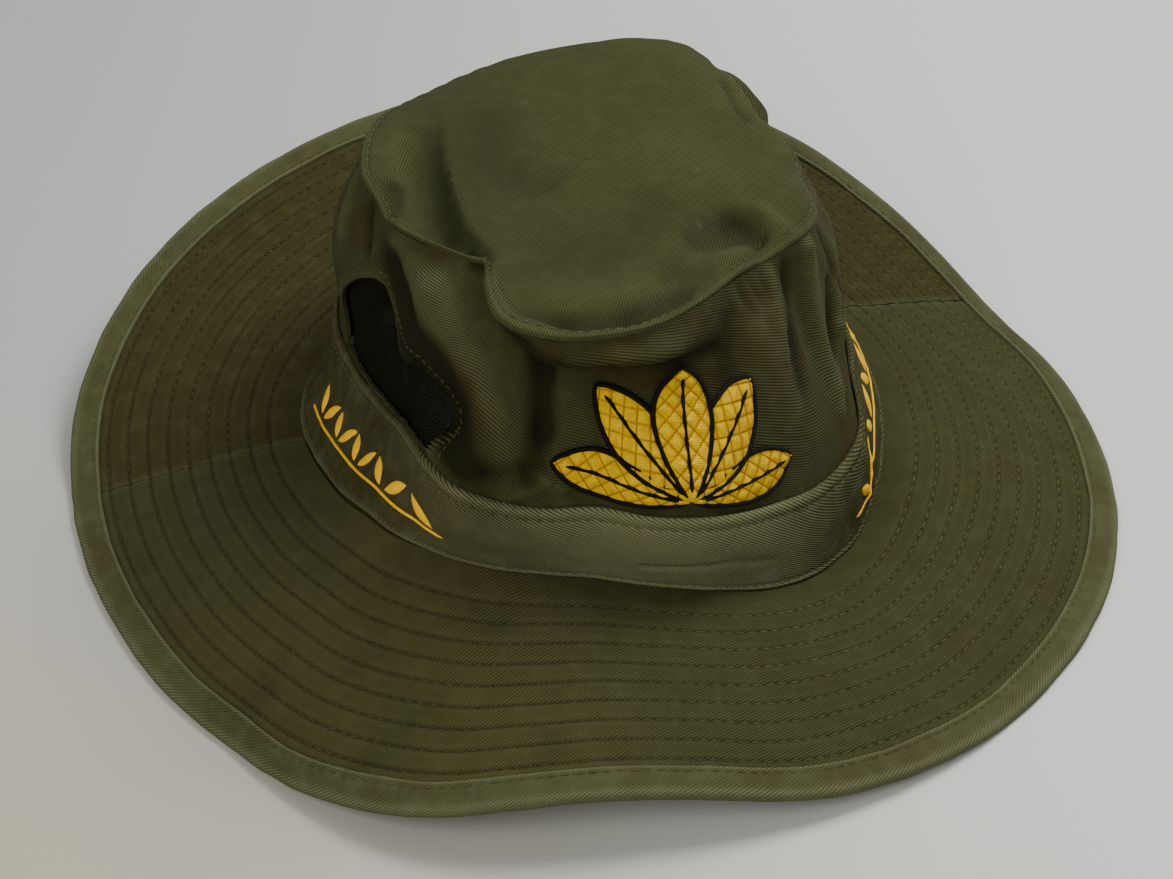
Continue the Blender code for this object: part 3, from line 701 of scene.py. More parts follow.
def sewn(line, ups, kind, seed, lift=0.0, pitch=None):
    """Stitches along a line of points, as points, faces and uvs."""
    own_pitch, length, width = STITCHES[kind]
    pitch = pitch or own_pitch
    arc = arc_lengths(line)
    count = int(arc[-1] / pitch)
    draw = np.random.default_rng(seed)
    at = (np.arange(count) + 0.5) * pitch + draw.uniform(-0.05, 0.05, count) * pitch

    def along(values, spots):
        return np.stack([np.interp(spots, arc, channel) for channel in values.T], axis=-1)

    tangents = unit(along(line, at + length / 2) - along(line, at - length / 2))
    ups = along(ups, at)
    sizes = length * draw.uniform(0.88, 1.08, count)
    return capsules(along(line, at) + ups * lift, tangents, ups, sizes, width)


def whole_pitch(line, kind):
    """The pitch nearest to the kind's own that divides a line evenly."""
    length = arc_lengths(line)[-1]
    return length / round(length / STITCHES[kind][0])


def crease_push(creases, turn, level, reach, height):
    """Outward push of the creases at each spot. reach and height turn the units into metres."""
    push = 0.0
    for start_turn, start_level, end_turn, end_level, width, most in creases:
        right = np.radians(apart(turn, start_turn)) * reach
        up = (level - start_level) * height
        run = math.radians(apart(end_turn, start_turn)) * reach
        rise = (end_level - start_level) * height
        share = np.clip((right * run + up * rise) / (run**2 + rise**2), 0, 1)
        push = push + most * bump(np.hypot(right - share * run, up - share * rise), width)
    return push


# Materials


class Graph:
    """A material's node tree, with a short way to add nodes."""

    def __init__(self, name):
        self.material = bpy.data.materials.new(name)
        self.material.use_nodes = True
        self.tree = self.material.node_tree
        self.shader = self.tree.nodes["Principled BSDF"]

    def node(self, kind, inputs=(), **settings):
        made = self.tree.nodes.new("ShaderNode" + kind)
        for key, value in settings.items():
            setattr(made, key, value)
        for key, value in dict(inputs).items():
            self.put(value, made.inputs[key])
        return made

    def put(self, value, socket):
        if isinstance(value, bpy.types.NodeSocket):
            self.tree.links.new(value, socket)
        else:
            socket.default_value = value

    def uv(self):
        """The uv map, in millimetres of cloth."""
        return self.node("UVMap", uv_map="cloth").outputs["UV"]

    def wear_and_shading(self):
        return self.node("Attribute", attribute_name="wear_and_shading").outputs["Fac"]

    def math(self, operation, *values, clamp=False):
        return self.node("Math", enumerate(values), operation=operation, use_clamp=clamp).outputs[0]

    def times(self, value, factor, clamp=False):
        return self.math("MULTIPLY", value, factor, clamp=clamp)

    def noise(self, vector, scale, detail=2.0, roughness=0.5):
        inputs = {"Vector": vector, "Scale": scale, "Detail": detail, "Roughness": roughness}
        return self.node("TexNoise", inputs).outputs["Fac"]

    def mix(self, share, first, second):
        return self.node("Mix", data_type="RGBA", inputs={0: share, 6: first, 7: second}).outputs[2]

    def ramp(self, value, low, high):
        """0 below low and 1 above high."""
        made = self.node("MapRange", {"Value": value, "From Min": low, "From Max": high})
        made.interpolation_type = "SMOOTHSTEP"
        return made.outputs[0]

    def along(self, vector, degrees, rate=1.0):
        """How far a vector reaches in a level direction, times a rate."""
        turn = math.radians(degrees)
        way = (math.cos(turn) * rate, math.sin(turn) * rate, 0.0)
        return self.node("VectorMath", {0: vector, 1: way}, operation="DOT_PRODUCT").outputs["Value"]

    def sweep(self, vector, degrees, low, high):
        """A soft step from 0 to 1 along a level direction, between two distances in its unit."""
        return self.ramp(self.along(vector, degrees), low, high)

    def wave(self, uv, degrees, pitch, wobble, amount):
        """Parallel ridges, 0 in the valley and 1 on the ridge, at an angle in the uv map."""
        phase = self.along(uv, degrees, 2 * math.pi / pitch)
        phase = self.math("MULTIPLY_ADD", wobble, amount, phase)
        return self.math("MULTIPLY_ADD", self.math("SINE", phase), 0.5, 0.5)

    def dress(self, colour, rough, shine=0.5, relief=None, depth=0.0, strength=0.8):
        """The material, with this colour, roughness, shine and relief. depth is in millimetres."""
        inputs = {"Base Color": colour, "Roughness": rough, "Specular IOR Level": shine}
        if relief:
            raised = {"Strength": strength, "Distance": depth * MM, "Height": relief}
            inputs["Normal"] = self.node("Bump", raised).outputs[0]
        for key, value in inputs.items():
            self.put(value, self.shader.inputs[key])
        return self.material


def rgb(colour, share=1.0):
    return (*(channel * share for channel in colour), 1.0)


def twill(name, colour, other, worn, ribs, pitch, depth=0.16, contrast=0.55, warm_light_left=None):
    """Cotton twill: slanting ridges crossed by fine yarns, faded in patches and on worn edges, paler with
    painted highlights and darker with painted shade where the mesh marks them.
    """
    graph = Graph(name)
    uv, wear_and_shading = graph.uv(), graph.wear_and_shading()
    drift = graph.noise(uv, 0.16, 3.0)
    patches = graph.ramp(graph.noise(uv, 0.035, 3.0, 0.6), 0.40, 0.62)
    fleck = graph.noise(uv, 2.6, 2.0, 0.6)
    ridge = graph.wave(uv, ribs, pitch, drift, 2.0)
    yarn = graph.wave(uv, ribs + 62, pitch * 0.62, fleck, 1.4)
    relief = graph.math("MULTIPLY_ADD", yarn, 0.3, ridge)
    relief = graph.math("MULTIPLY_ADD", fleck, 0.5, relief)
    light = graph.ramp(relief, 0.25, 1.45)
    dark, pale = 1 - contrast, 1 + contrast * 0.75
    low = graph.mix(patches, rgb(colour, dark), rgb(other, dark))
    high = graph.mix(patches, rgb(colour, pale), rgb(other, pale))
    cloth = graph.mix(light, low, high)
    # Painted warm light: a warmer, paler tone towards the left front.
    if warm_light_left:
        left = graph.times(graph.sweep(uv, 180, 12, 75), graph.sweep(uv, -90, 5, 70))
        left = graph.times(left, graph.ramp(graph.noise(uv, 0.05, 3.0), 0.25, 0.55))
        cloth = graph.mix(left, cloth, graph.mix(light, rgb(warm_light_left, dark), rgb(warm_light_left, pale)))
    faded = graph.times(graph.ramp(drift, 0.42, 0.72), 0.22)
    dots = graph.times(graph.ramp(graph.noise(uv, 1.1, 4.0, 0.75), 0.66, 0.80), 0.35)
    # Above 0 the mesh marks rubbed cloth and painted highlights, which turn paler; below 0 it marks painted
    # shade, which darkens the cloth in creases, folds and grooves.
    rubbed_and_lit = graph.times(wear_and_shading, graph.ramp(relief, 0.2, 1.2), clamp=True)
    folded = graph.times(wear_and_shading, -1.0, clamp=True)
    layers = (faded, worn, 1.0), (dots, worn, 1.5), (rubbed_and_lit, worn, 1.35), (folded, other, 0.22)
    for share, tone, strength in layers:
        cloth = graph.mix(share, cloth, rgb(tone, strength))
    rough = graph.math("MULTIPLY_ADD", light, -0.08, 0.89)
    return graph.dress(cloth, rough, 0.12, relief, depth, 0.9)


def thread(name, colour, pitch=0.45, rough=0.55, shine=0.4, left=None, low=0.55):
    """Sewing thread: fine turns across the strand, with painted shade on the hat's left side where a left
    colour is given.
    """
    graph = Graph(name)
    uv = graph.uv()
    turns = graph.wave(uv, 0.0, pitch, graph.noise(uv, 1.7), 2.0)
    body = graph.mix(turns, rgb(colour, low), rgb(colour, 1.2))
    # left: painted shade, a darker tone on the hat's left side, where the thread catches less light.
    if left:
        place = graph.node("NewGeometry").outputs["Position"]
        body = graph.mix(graph.sweep(place, 180, -0.01, 0.05), body, rgb(left))
    tone = graph.times(graph.ramp(graph.noise(uv, 0.5), 0.35, 0.7), 0.35)
    return graph.dress(graph.mix(tone, body, rgb(colour, 1.6)), rough, shine, turns, 0.12)


def quilted(name, gold, bright, dark):
    """Golden satin stitches, with painted shade along the quilting."""
    graph = Graph(name)
    uv = graph.uv()
    turns = graph.wave(uv, 82, 0.42, graph.noise(uv, 1.3), 1.5)
    body = graph.mix(turns, rgb(gold, 0.5), rgb(gold))
    tone = graph.times(graph.ramp(graph.noise(uv, 0.35, 3.0), 0.35, 0.7), 0.6)
    body = graph.mix(tone, body, rgb(bright))
    # Painted shade in the quilting grooves.
    body = graph.mix(graph.ramp(graph.wear_and_shading(), 0.1, 1.0), body, rgb(dark))
    graph.shader.inputs["Specular Tint"].default_value = (1.0, 0.62, 0.02, 1.0)
    return graph.dress(body, 0.4, 1.0, turns, 0.2)


OLIVE = (0.0425, 0.0465, 0.0150)
BROWN = (0.038, 0.0340, 0.0085)
FADED = (0.074, 0.080, 0.035)
STRAW = (0.110, 0.108, 0.036)
MOSS = (0.075, 0.073, 0.022)
INK = (0.006, 0.006, 0.005)

# The front brim gets painted warm light towards its left front.
FRONT_TWILL = twill(
    "front_twill", (0.0435, 0.0465, 0.0157), (0.0420, 0.0425, 0.0132), FADED, 109, 0.76,
    contrast=0.42, warm_light_left=(0.058, 0.0530, 0.0170),
)
BACK_TWILL = twill("back_twill", BROWN, BROWN, FADED, 100, 0.76)
SIDE_TWILL = twill("side_twill", OLIVE, BROWN, FADED, 78, 0.70)
TOP_TWILL = twill(
    "top_twill", (0.0475, 0.0520, 0.0175), (0.0475, 0.0505, 0.0165), FADED, 146, 0.72, contrast=0.45
)
BAND_TWILL = twill(
    "band_twill", (0.046, 0.047, 0.016), BROWN, (0.128, 0.134, 0.066), 66, 0.80, contrast=0.65
)
BINDING_TAPE = twill(
    "binding_tape", (0.064, 0.068, 0.027), (0.056, 0.056, 0.021), (0.120, 0.126, 0.068), 58, 0.82,
    contrast=0.22, depth=0.10,
)
# The brim's thread gets painted shade on the hat's left side.
OLIVE_THREAD = thread("olive_thread", STRAW, shine=0.1, left=(0.040, 0.036, 0.012))
SEAM_THREAD = thread("seam_thread", MOSS)
BLACK_THREAD = thread("black_thread", INK, rough=0.75, shine=0.12)
NET_THREAD = thread("net_thread", (0.013, 0.0135, 0.0065), rough=0.8, shine=0.10)
YELLOW_SATIN = thread("yellow_satin", (0.95, 0.50, 0.0), pitch=0.5, rough=0.5, shine=0.08, low=0.75)
# The last colour is the painted shade in the quilting grooves.
QUILTED = quilted("quilted_gold", (1.0, 0.56, 0.0), (1.0, 0.74, 0.0), (0.32, 0.12, 0.001))


# The brim. Its reliefs, and those of the crown, are sums in millimetres.


def brim_outs():
    """Distances from the foot at which the brim has a line of points, close by each row of stitches."""
    beside = (-2.4, -1.4, -0.8, -0.4, 0.0, 0.4, 0.8, 1.4, 2.4, 3.15)
    outs = [row + step * MM for row in STITCH_ROWS for step in beside]
    outs += [CLEARANCE, *(step * MM for step in (0.6, 2, 4, 6))]
    outs += [LAST_ROW + 4.6 * MM, LAST_ROW + 6 * MM, BRIM_CLOTH - MM, BRIM_CLOTH]
    return np.unique(np.round(outs, 6))


def brim_relief(places, outs, side):
    """How far the brim's cloth stands off its plain surface, pulled in along the stitches."""
    nearest = np.argmin(np.abs(outs[:, None] - STITCH_ROWS), axis=1)
    gap = (outs - STITCH_ROWS[nearest])[:, None] / MM
    arc = arc_lengths(brim(places, STITCH_ROWS[:, None]))[nearest]
    beat = np.cos(2 * math.pi * arc / STITCHES["brim"][0])
    turn, out = turn_at(places), outs[:, None] / MM
    soft = grain(turn, 6, out / 9, 11 + side)
    fine = grain(turn, 1.5, out / 3.2, 21 + side)
    groove = 0.42 * bump(gap, 0.55) * (0.8 + 0.2 * beat)
    swell = 0.17 * (1 - bump(gap, 1.7))
    pucker = 0.08 * beat * bump(gap, 2) * (1 + 0.6 * fine)
    return (swell + pucker - groove + 0.10 * fine + 0.12 * soft) * MM


def brim_sway(places, outs):
    """Soft unevenness of the whole brim, which fades out at the foot and at the edge."""
    share = outs[:, None] / BRIM_CLOTH
    fade = np.sin(math.pi * np.clip(share, 0, 1))
    return 0.5 * MM * grain(turn_at(places), 12, share * 2.5, 5) * fade


def brim_ups(places, out, way):
    """Normals of the brim's upper side for 1, of its lower side for -1."""
    ups = normals(brim, places, np.full(len(places), out), 1e-4)
    return way * ups * np.sign(ups[:, 2:])


def brim_piece(name, first, last, per_row, finish, slot, node):
    """A piece of the brim between two rows of SECTIONS, and its stitches."""
    places = np.linspace(first, last, (last - first) * per_row + 1)
    half_gap = math.degrees(CLEARANCE / 2 / HEAD_RADIUS)
    places[0] = place_of(turn_at(first) + half_gap)
    places[-1] = place_of(turn_at(last) - half_gap)
    outs = brim_outs()
    out = outs[:, None]
    sway = brim_sway(places, outs)
    arc = arc_lengths(brim(places, LAST_ROW / 2))
    from_end = np.minimum(arc, arc[-1] - arc) / MM
    rolled = (0.25 * bump(from_end - 2.4, 1.2) - 0.35 * bump(from_end, 0.9)) * MM
    upper, lower = (
        brim(places, out, sway + way * (BRIM_THICK / 2 + brim_relief(places, outs, side) + rolled))
        for side, way in SIDES
    )
    edge = np.minimum(places - places[0], places[-1] - places) * per_row
    # Paler at the piece's ends, where rubbed; a little paler beside each row of stitches, with painted shade
    # in the stitch groove itself.
    wear_and_shading = 0.45 * bump(edge, 1.5) + np.zeros_like(out)
    for row in STITCH_ROWS:
        gap = (out - row) / MM
        wear_and_shading += 0.14 * bump(gap - 1.3, 0.7) + 0.14 * bump(gap + 1.3, 0.7) - 0.55 * bump(gap, 0.42)
    uv = brim(places, out)[..., :2] / MM
    shell(name, upper, lower, uv, finish, slot, node, wear_and_shading, ring=False)
    threads = []
    for number, row in enumerate(STITCH_ROWS):
        for side, way in SIDES:
            row_out = np.array([row])
            lift = way * (BRIM_THICK / 2 + brim_relief(places, row_out, side)[0])
            line = brim(places, row, lift + brim_sway(places, row_out)[0])
            seed = 100 + number * 2 + side
            threads.append(sewn(line, brim_ups(places, row, way), "brim", seed, 0.05 * MM))
    return threads


def edge_point(place, out, lift):
    """A point of the folded binding. out: metres beyond the brim's own edge, negative over the cloth."""
    at = np.broadcast_to(place, np.broadcast(place, out, lift).shape)
    slope = droop(at)
    direction = point(turn_at(at), np.cos(slope), -np.sin(slope))
    points = brim(at, BRIM_CLOTH + np.minimum(out, 0), lift)
    points = points + direction * np.expand_dims(np.maximum(out, 0), -1)
    points[..., 2] = np.maximum(points[..., 2], 0.0)
    return points


def binding_rows():
    """The section of the folded tape in millimetres, out and up from the brim's own edge."""
    width, top, nose = BINDING_WIDTH / MM, BINDING_HALF / MM, BINDING_NOSE / MM
    inner = BRIM_THICK / 2 / MM + 0.1
    over = (0.6, 1.0, 1.35, 1.7, 2.05, 2.4, 3.0, 3.7, 4.4, 5.1, 5.8, 6.4, 7.0)
    rows = [(-width, inner), (-width - 0.02, top - 0.35), (-width + 0.25, top - 0.05)]
    rows += [(-width + step, top) for step in over]
    rows += [(nose + top * math.cos(a), top * math.sin(a)) for a in np.radians(range(75, -86, -20))]
    rows += [(-step, -top) for step in (0.8, 2.0, 3.2, 4.3, 5.2, 5.6, 6.2)]
    rows += [(-width, 0.2 - top), (-width, -inner), (-3, -inner), (0, -inner), (0, inner), (-3, inner)]
    return (*np.array(rows).T, width, inner)


def binding():
    """The tape folded round the edge, and its stitches."""
    places = np.linspace(0, ROWS, ROWS * PER_ROW["binding"] + 1)
    edge = edge_point(places, 0.0, 0.0)
    arc = arc_lengths(edge)
    pitch = whole_pitch(edge, "binding")
    beat = np.cos(2 * math.pi * arc / pitch)[:, None]
    turn = turn_at(places)[:, None]
    out, lift, width, inner = binding_rows()
    around = np.concatenate([[0], np.cumsum(np.hypot(np.diff(out), np.diff(lift))), [25]])
    from_line = out - BINDING_LINE / MM
    way = np.sign(lift)
    relief = 0.10 * grain(turn, 1.5, out / 1.5 + way, 35) + 0.12 * grain(turn, 3, out / 3 + way, 31)
    relief -= 0.28 * bump(from_line, 0.7) * (0.8 + 0.2 * beat)
    relief += 0.10 * beat * bump(from_line, 2.2)
    shown = ((np.abs(lift) > inner + 0.05) | (out > 0)) & (out < 0.5)
    wander = 0.35 * grain(turn, 4, 0.5, 33) * bump(out + width, 2)
    swell = 0.25 * grain(turn, 2.5, 0.5, 34) * (out > 0)
    outs, lifts = (out + wander + swell) * MM, (lift + np.where(shown, way * relief, 0)) * MM
    sections = edge_point(places[:-1, None], outs[:-1], lifts[:-1])
    count, corners = sections.shape[:2]
    faces, uvs = skin(count + 1, corners, arc / MM, around)
    faces %= count * corners
    # Paler on the rounded fold, where rubbed, and along the inner edge, worn and with a painted highlight on
    # its ridge.
    wear_and_shading = 0.55 * bump(out - 1.2, 1.3) + 0.6 * bump(out + width - 0.3, 0.5)
    wear_and_shading = np.broadcast_to(wear_and_shading, (count, corners))
    object_of(
        "binding_tape", sections.reshape(-1, 3), faces, uvs, BINDING_TAPE, "binding", "brim_binding", wear_and_shading
    )
    threads = []
    for side, way in SIDES:
        seam = edge_point(places, BINDING_LINE, way * (BINDING_HALF - 0.28 * MM))
        ups = brim_ups(places, LAST_ROW, way)
        threads.append(sewn(seam, ups, "binding", 140 + side, 0.16 * MM, pitch))
    return threads


# The crown


def round_vent(name, place, level):
    """Spots seen from a vent's middle: share of the way to the vent's outline, metres beyond the
    outline, and metres across and up."""
    turn = VENT_TURNS[name]
    reach, slope = slope_at(turn)
    across, up = np.radians(apart(turn_at(place), turn)) * reach, level * slope
    x, y = (vent_outline(0.0, name) - (0.0, VENT_MIDDLE)).T
    angle = np.arctan2(up - VENT_MIDDLE, across)
    radius = np.interp(angle, np.arctan2(y, x), np.hypot(x, y), period=2 * math.pi)
    distance = np.hypot(across, up - VENT_MIDDLE)
    return distance / radius, distance - radius, across, up


def side_relief(place, level):
    """Creases, puckers under the top seam and the raised hem round the vents, outwards."""
    turn = turn_at(place)
    angle = np.radians(turn)
    up, down = level * SIDE_HEIGHT / MM, (1 - level) * SIDE_HEIGHT / MM
    beat = np.sin(angle * 92 + 1.2 * grain(turn, 6, 0.5, 43))
    foot_beat = np.sin(angle * 61 + 2.0 * grain(turn, 5, 0.5, 44))
    push = 0.45 * grain(turn, 9, level * 4, 41) + 0.20 * grain(turn, 3, level * 11, 42)
    push = push + 0.35 * beat * bump(down, 3) + 0.18 * np.sin(angle * 37) * bump(down - 4, 5)
    push = push + 0.25 * foot_beat * bump(up, 3.5)
    for name in VENT_TURNS:
        beyond = round_vent(name, place, level)[1] / MM
        hem = np.sqrt(np.clip(1 - np.abs(beyond - 1) / 1.6, 0, 1))
        push = push + 0.45 * hem - 0.18 * bump(beyond - VENT_HEM / MM, 0.6)
    return crease_push(SIDE_CREASES, turn, level, SIDE_REACH, SIDE_HEIGHT) + push * MM


def crown_side():
    """The side's cloth. Its mesh is drawn out to the vents' outlines, and open inside them."""
    places = np.linspace(0, ROWS, ROWS * PER_ROW["crown"] + 1)
    place, level = np.meshgrid(places, SIDE_LEVELS)
    inside = np.full(place.shape, False)
    drawn_place, drawn_level = place, level
    for name, turn in VENT_TURNS.items():
        share, _, across, up = round_vent(name, place, level)
        within = (share < 1) & (level > -0.2)
        share = np.maximum(share, 0.05)
        moved, moved_level = on_side(turn, across / share, VENT_MIDDLE + (up - VENT_MIDDLE) / share)
        moved = moved + np.round((place - moved) / ROWS) * ROWS
        drawn_place = np.where(within, moved, drawn_place)
        drawn_level = np.where(within, moved_level, drawn_level)
        inside |= within
    halves = (slice(None, -1), slice(1, None))
    corners = [(rows, spots) for rows in halves for spots in halves]
    kept = ~np.logical_and.reduce([inside[corner] for corner in corners])
    touched = np.full(place.shape, False)
    for corner in corners:
        touched[corner] |= kept
    place = np.where(inside & touched, drawn_place, place)
    level = np.where(inside & touched, drawn_level, level)
    arc = arc_lengths(side_points(places, 0.3))
    uv = np.stack([np.interp(place, places, arc), level * SIDE_HEIGHT], axis=-1) / MM
    place, level = place[:, :-1], np.minimum(level, 1.0)[:, :-1]
    turn, above = turn_at(place), np.maximum(level, 0)
    fade = np.clip(level * 12 + 0.4, 0, 1) * np.clip((1 - level) * 18, 0, 1)
    relief = np.maximum(side_relief(place, above) * fade, -SEAM_ROOM * (1 - above) - 0.1 * MM)
    away = normals(side_points, place, np.minimum(level, 0.995))
    outer = side_points(place, level) + away * relief[..., None]
    # Painted light and shade: crease valleys darker, crease ridges paler, and the painted shade of the
    # hollows; paler round the vent hems, where rubbed.
    folds = crease_push(SIDE_CREASES, turn, level, SIDE_REACH, SIDE_HEIGHT) / (2.4 * MM)
    painted_shading = crease_push(SIDE_PAINTED_SHADING, turn, level, SIDE_REACH, SIDE_HEIGHT)
    wear_and_shading = (np.clip(folds, -0.8, 0.5) - painted_shading) * np.clip(level * 12, 0, 1)
    for name in VENT_TURNS:
        wear_and_shading = wear_and_shading + 0.35 * bump(round_vent(name, place, level)[1] / MM - 1, 1)
    wear_and_shading = np.maximum(wear_and_shading, -0.85)
    inner = outer - away * CROWN_CLOTH
    shell("side_cloth", outer, inner, uv, SIDE_TWILL, "twill_green", "crown_side", wear_and_shading, keep=kept)


def fold_depth(turn, share):
    """The fold across the left of the top, sharp and steep on its inner side: depth and wall shade."""

    def plan(turn, share):
        reach = column("seam_reach", place_of(turn)) * HEAD_RADIUS * share
        return np.moveaxis(outwards(turn)[..., :2] * reach[..., None], -1, 0)

    spot_turns, spot_shares, depths = np.array(FOLD_SPOTS).T
    spots, (x, y) = plan(spot_turns, spot_shares).T, plan(turn, share)
    nearest, depth, shade = np.full(np.shape(x), 1.0), np.zeros(np.shape(x)), np.zeros(np.shape(x))
    for start, end, start_depth, end_depth in zip(spots, spots[1:], depths, depths[1:]):
        run, rise = end - start
        right, up = x - start[0], y - start[1]
        step = np.clip((right * run + up * rise) / (run**2 + rise**2), 0, 1)
        right, up = right - step * run, up - step * rise
        gap = np.hypot(right, up)
        outside = right * rise - up * run > 0
        most = start_depth + (end_depth - start_depth) * step
        gentle = np.clip(1 - gap / FOLD_OUTSIDE, 0, 1) ** 1.5
        steep = np.clip(1 - (gap / FOLD_INSIDE) ** 2, 0, 1)
        wall = np.clip((FOLD_INSIDE - gap) / MM, 0, 1)
        wall = wall + 0.22 * bump(gap - FOLD_INSIDE, 14 * MM) * (gap > FOLD_INSIDE)
        dark = np.where(outside, 0.8 * bump(gap, 4 * MM), wall)
        closer = gap < nearest
        nearest = np.where(closer, gap, nearest)
        depth = np.where(closer, most * np.where(outside, gentle, steep), depth)
        shade = np.where(closer, dark * np.clip(most / FOLD_DEEPEST, 0, 1) ** 0.6, shade)
    return depth, shade


def top_relief(place, share):
    """Creases and the rope-like seam round the edge of the top, upwards."""
    turn = turn_at(place)
    angle = np.radians(turn)
    inwards = (1 - share) * TOP_REACH / MM
    beat = np.sin(angle * 118 + inwards * 0.9 + 0.8 * grain(turn, 6, 0.5, 53))
    push = 0.45 * grain(turn, 18, share * 5, 51) * np.clip(share * 3, 0, 1)
    push = push + 0.12 * grain(turn, 6, share * 14, 52) * np.clip(share * 2, 0, 1)
    push = push + (0.18 + 0.12 * beat) * bump(inwards - 0.8, 0.5) - 0.35 * bump(inwards - TOP_LINE / MM, 0.6)
    push = push + 0.16 * np.sin(angle * 59) * bump(inwards - 6, 3.5) - 0.5 * bump(inwards, 0.7)
    fold = fold_depth(turn, share)[0] * np.clip((1 - share) / 0.08, 0, 1)
    return crease_push(TOP_CREASES, turn, share, TOP_ROUND, TOP_REACH) - fold + push * MM


def crown_top():
    """The top's cloth, and the stitches of its seam."""
    place, share = np.meshgrid(np.linspace(0, ROWS, ROWS * PER_ROW["crown"] + 1), TOP_SHARES)
    turn = turn_at(place)
    flat, away = top_points(place, share), top_normals(place, share)
    depth, shade = fold_depth(turn, share)
    folded = flat - away * depth[..., None]
    out = arc_lengths(folded[::-1].swapaxes(0, 1)).T[::-1]
    uv = outwards(turn)[..., :2] * out[..., None] / MM
    outer = flat + away * top_relief(place, share)[..., None]
    inner = outer - away * CROWN_CLOTH
    # Paler along the rubbed rope seam; painted shade in crease valleys and on the fold's wall, painted
    # highlights on crease ridges, then the faint marks and painted shade lines.
    folds = crease_push(TOP_CREASES, turn, share, TOP_ROUND, TOP_REACH) / (4.5 * MM)
    wear_and_shading = 0.38 * bump((1 - share) * TOP_REACH / MM - 0.8, 0.5) + np.clip(folds, -0.5, 0.35)
    wear_and_shading = wear_and_shading - 0.55 * shade + crease_push(TOP_MARKS_AND_SHADE, turn, share, TOP_ROUND, TOP_REACH)
    outer, inner, wear_and_shading = outer[:, :-1], inner[:, :-1], wear_and_shading[:, :-1]
    shell("top_cloth", outer, inner, uv, TOP_TWILL, "twill_green", "crown_top", wear_and_shading)
    at = np.linspace(0, ROWS, 1200)
    edge = np.full(len(at), 1 - TOP_LINE / TOP_REACH)
    ups = top_normals(at, edge)
    line = top_points(at, edge) + ups * (top_relief(at, edge) + 0.15 * MM)[:, None]
    return [sewn(line, ups, "top", 160, pitch=whole_pitch(line, "top"))]


def band_relief(place, level):
    """Creases, the rolled upper edge and the grooves of the band's stitches, outwards."""
    turn = turn_at(place)
    angle = np.radians(turn)
    drop, rise = -level * BAND_HEIGHT / MM, (level + 1) * BAND_HEIGHT / MM
    beat = np.sin(angle * 186 + drop * 1.5 + 0.9 * grain(turn, 8, 0.5, 63))
    push = 0.30 * grain(turn, 7, level * 3, 61) + 0.10 * grain(turn, 2, level * 9, 62)
    push = push + (0.24 + 0.14 * beat) * bump(drop - 0.8, 0.8) + 0.25 * bump(rise - 1.8, 0.9)
    for line in BAND_LINES:
        gap = (level - line) * BAND_HEIGHT / MM
        push = push - 0.30 * bump(gap, 0.55) + 0.08 * np.sin(angle * 160) * bump(gap, 2)
    return crease_push(BAND_CREASES, turn, level, BAND_REACH, BAND_HEIGHT) + push * MM


def hat_band():
    """The band, and its two rows of stitches."""
    places = np.linspace(0, ROWS, ROWS * PER_ROW["band"] + 1)
    place, level = np.meshgrid(places, BAND_LEVELS)
    arc = arc_lengths(side_points(places, -0.5))
    uv = np.stack([np.interp(place, places, arc), level * BAND_HEIGHT], axis=-1) / MM
    place, level = place[:, :-1], level[:, :-1]
    ends = np.clip(np.minimum(level - BAND_LOWEST, BAND_EDGE - level) * BAND_HEIGHT / (0.5 * MM), 0, 1)
    thick = BAND_CLOTH * (0.45 + 0.55 * np.sqrt(ends)) + band_relief(place, level) * ends
    outer, _ = off_side(place, level, CLEARANCE + np.maximum(thick, 0.25 * MM))
    inner, _ = off_side(place, level, CLEARANCE)
    drop, rise = -level * BAND_HEIGHT / MM, (level + 1) * BAND_HEIGHT / MM
    wear_and_shading = 0.40 * bump(drop - 0.8, 0.7) + 0.45 * bump(rise - 1.8, 0.8)
    # Paler towards the front: partly faded cloth, partly painted light.
    wear_and_shading = wear_and_shading + 1.5 * bump(apart(turn_at(place), BAND_FADED_AND_LIT[0]), BAND_FADED_AND_LIT[1])
    shell("band_cloth", outer, inner, uv, BAND_TWILL, "twill_brown", "hat_band", wear_and_shading)
    at = np.linspace(0, ROWS, 1500)
    threads = []
    for number, level in enumerate(BAND_LINES):
        line, ups = off_side(at, level, BAND_OFF + band_relief(at, level) + 0.12 * MM)
        threads.append(sewn(line, ups, "band", 170 + number, pitch=whole_pitch(line, "band")))
    return threads


def inside_outline(outline, x, y):
    """Whether spots lie inside an outline, by counting the edges that each crosses."""
    crossed = np.zeros(x.shape, int)
    for (ax, ay), (bx, by) in zip(outline, np.roll(outline, -1, axis=0)):
        if ay != by:
            between = (y >= min(ay, by)) & (y < max(ay, by))
            crossed += between & (x < ax + (y - ay) * (bx - ax) / (by - ay))
    return crossed % 2 == 1


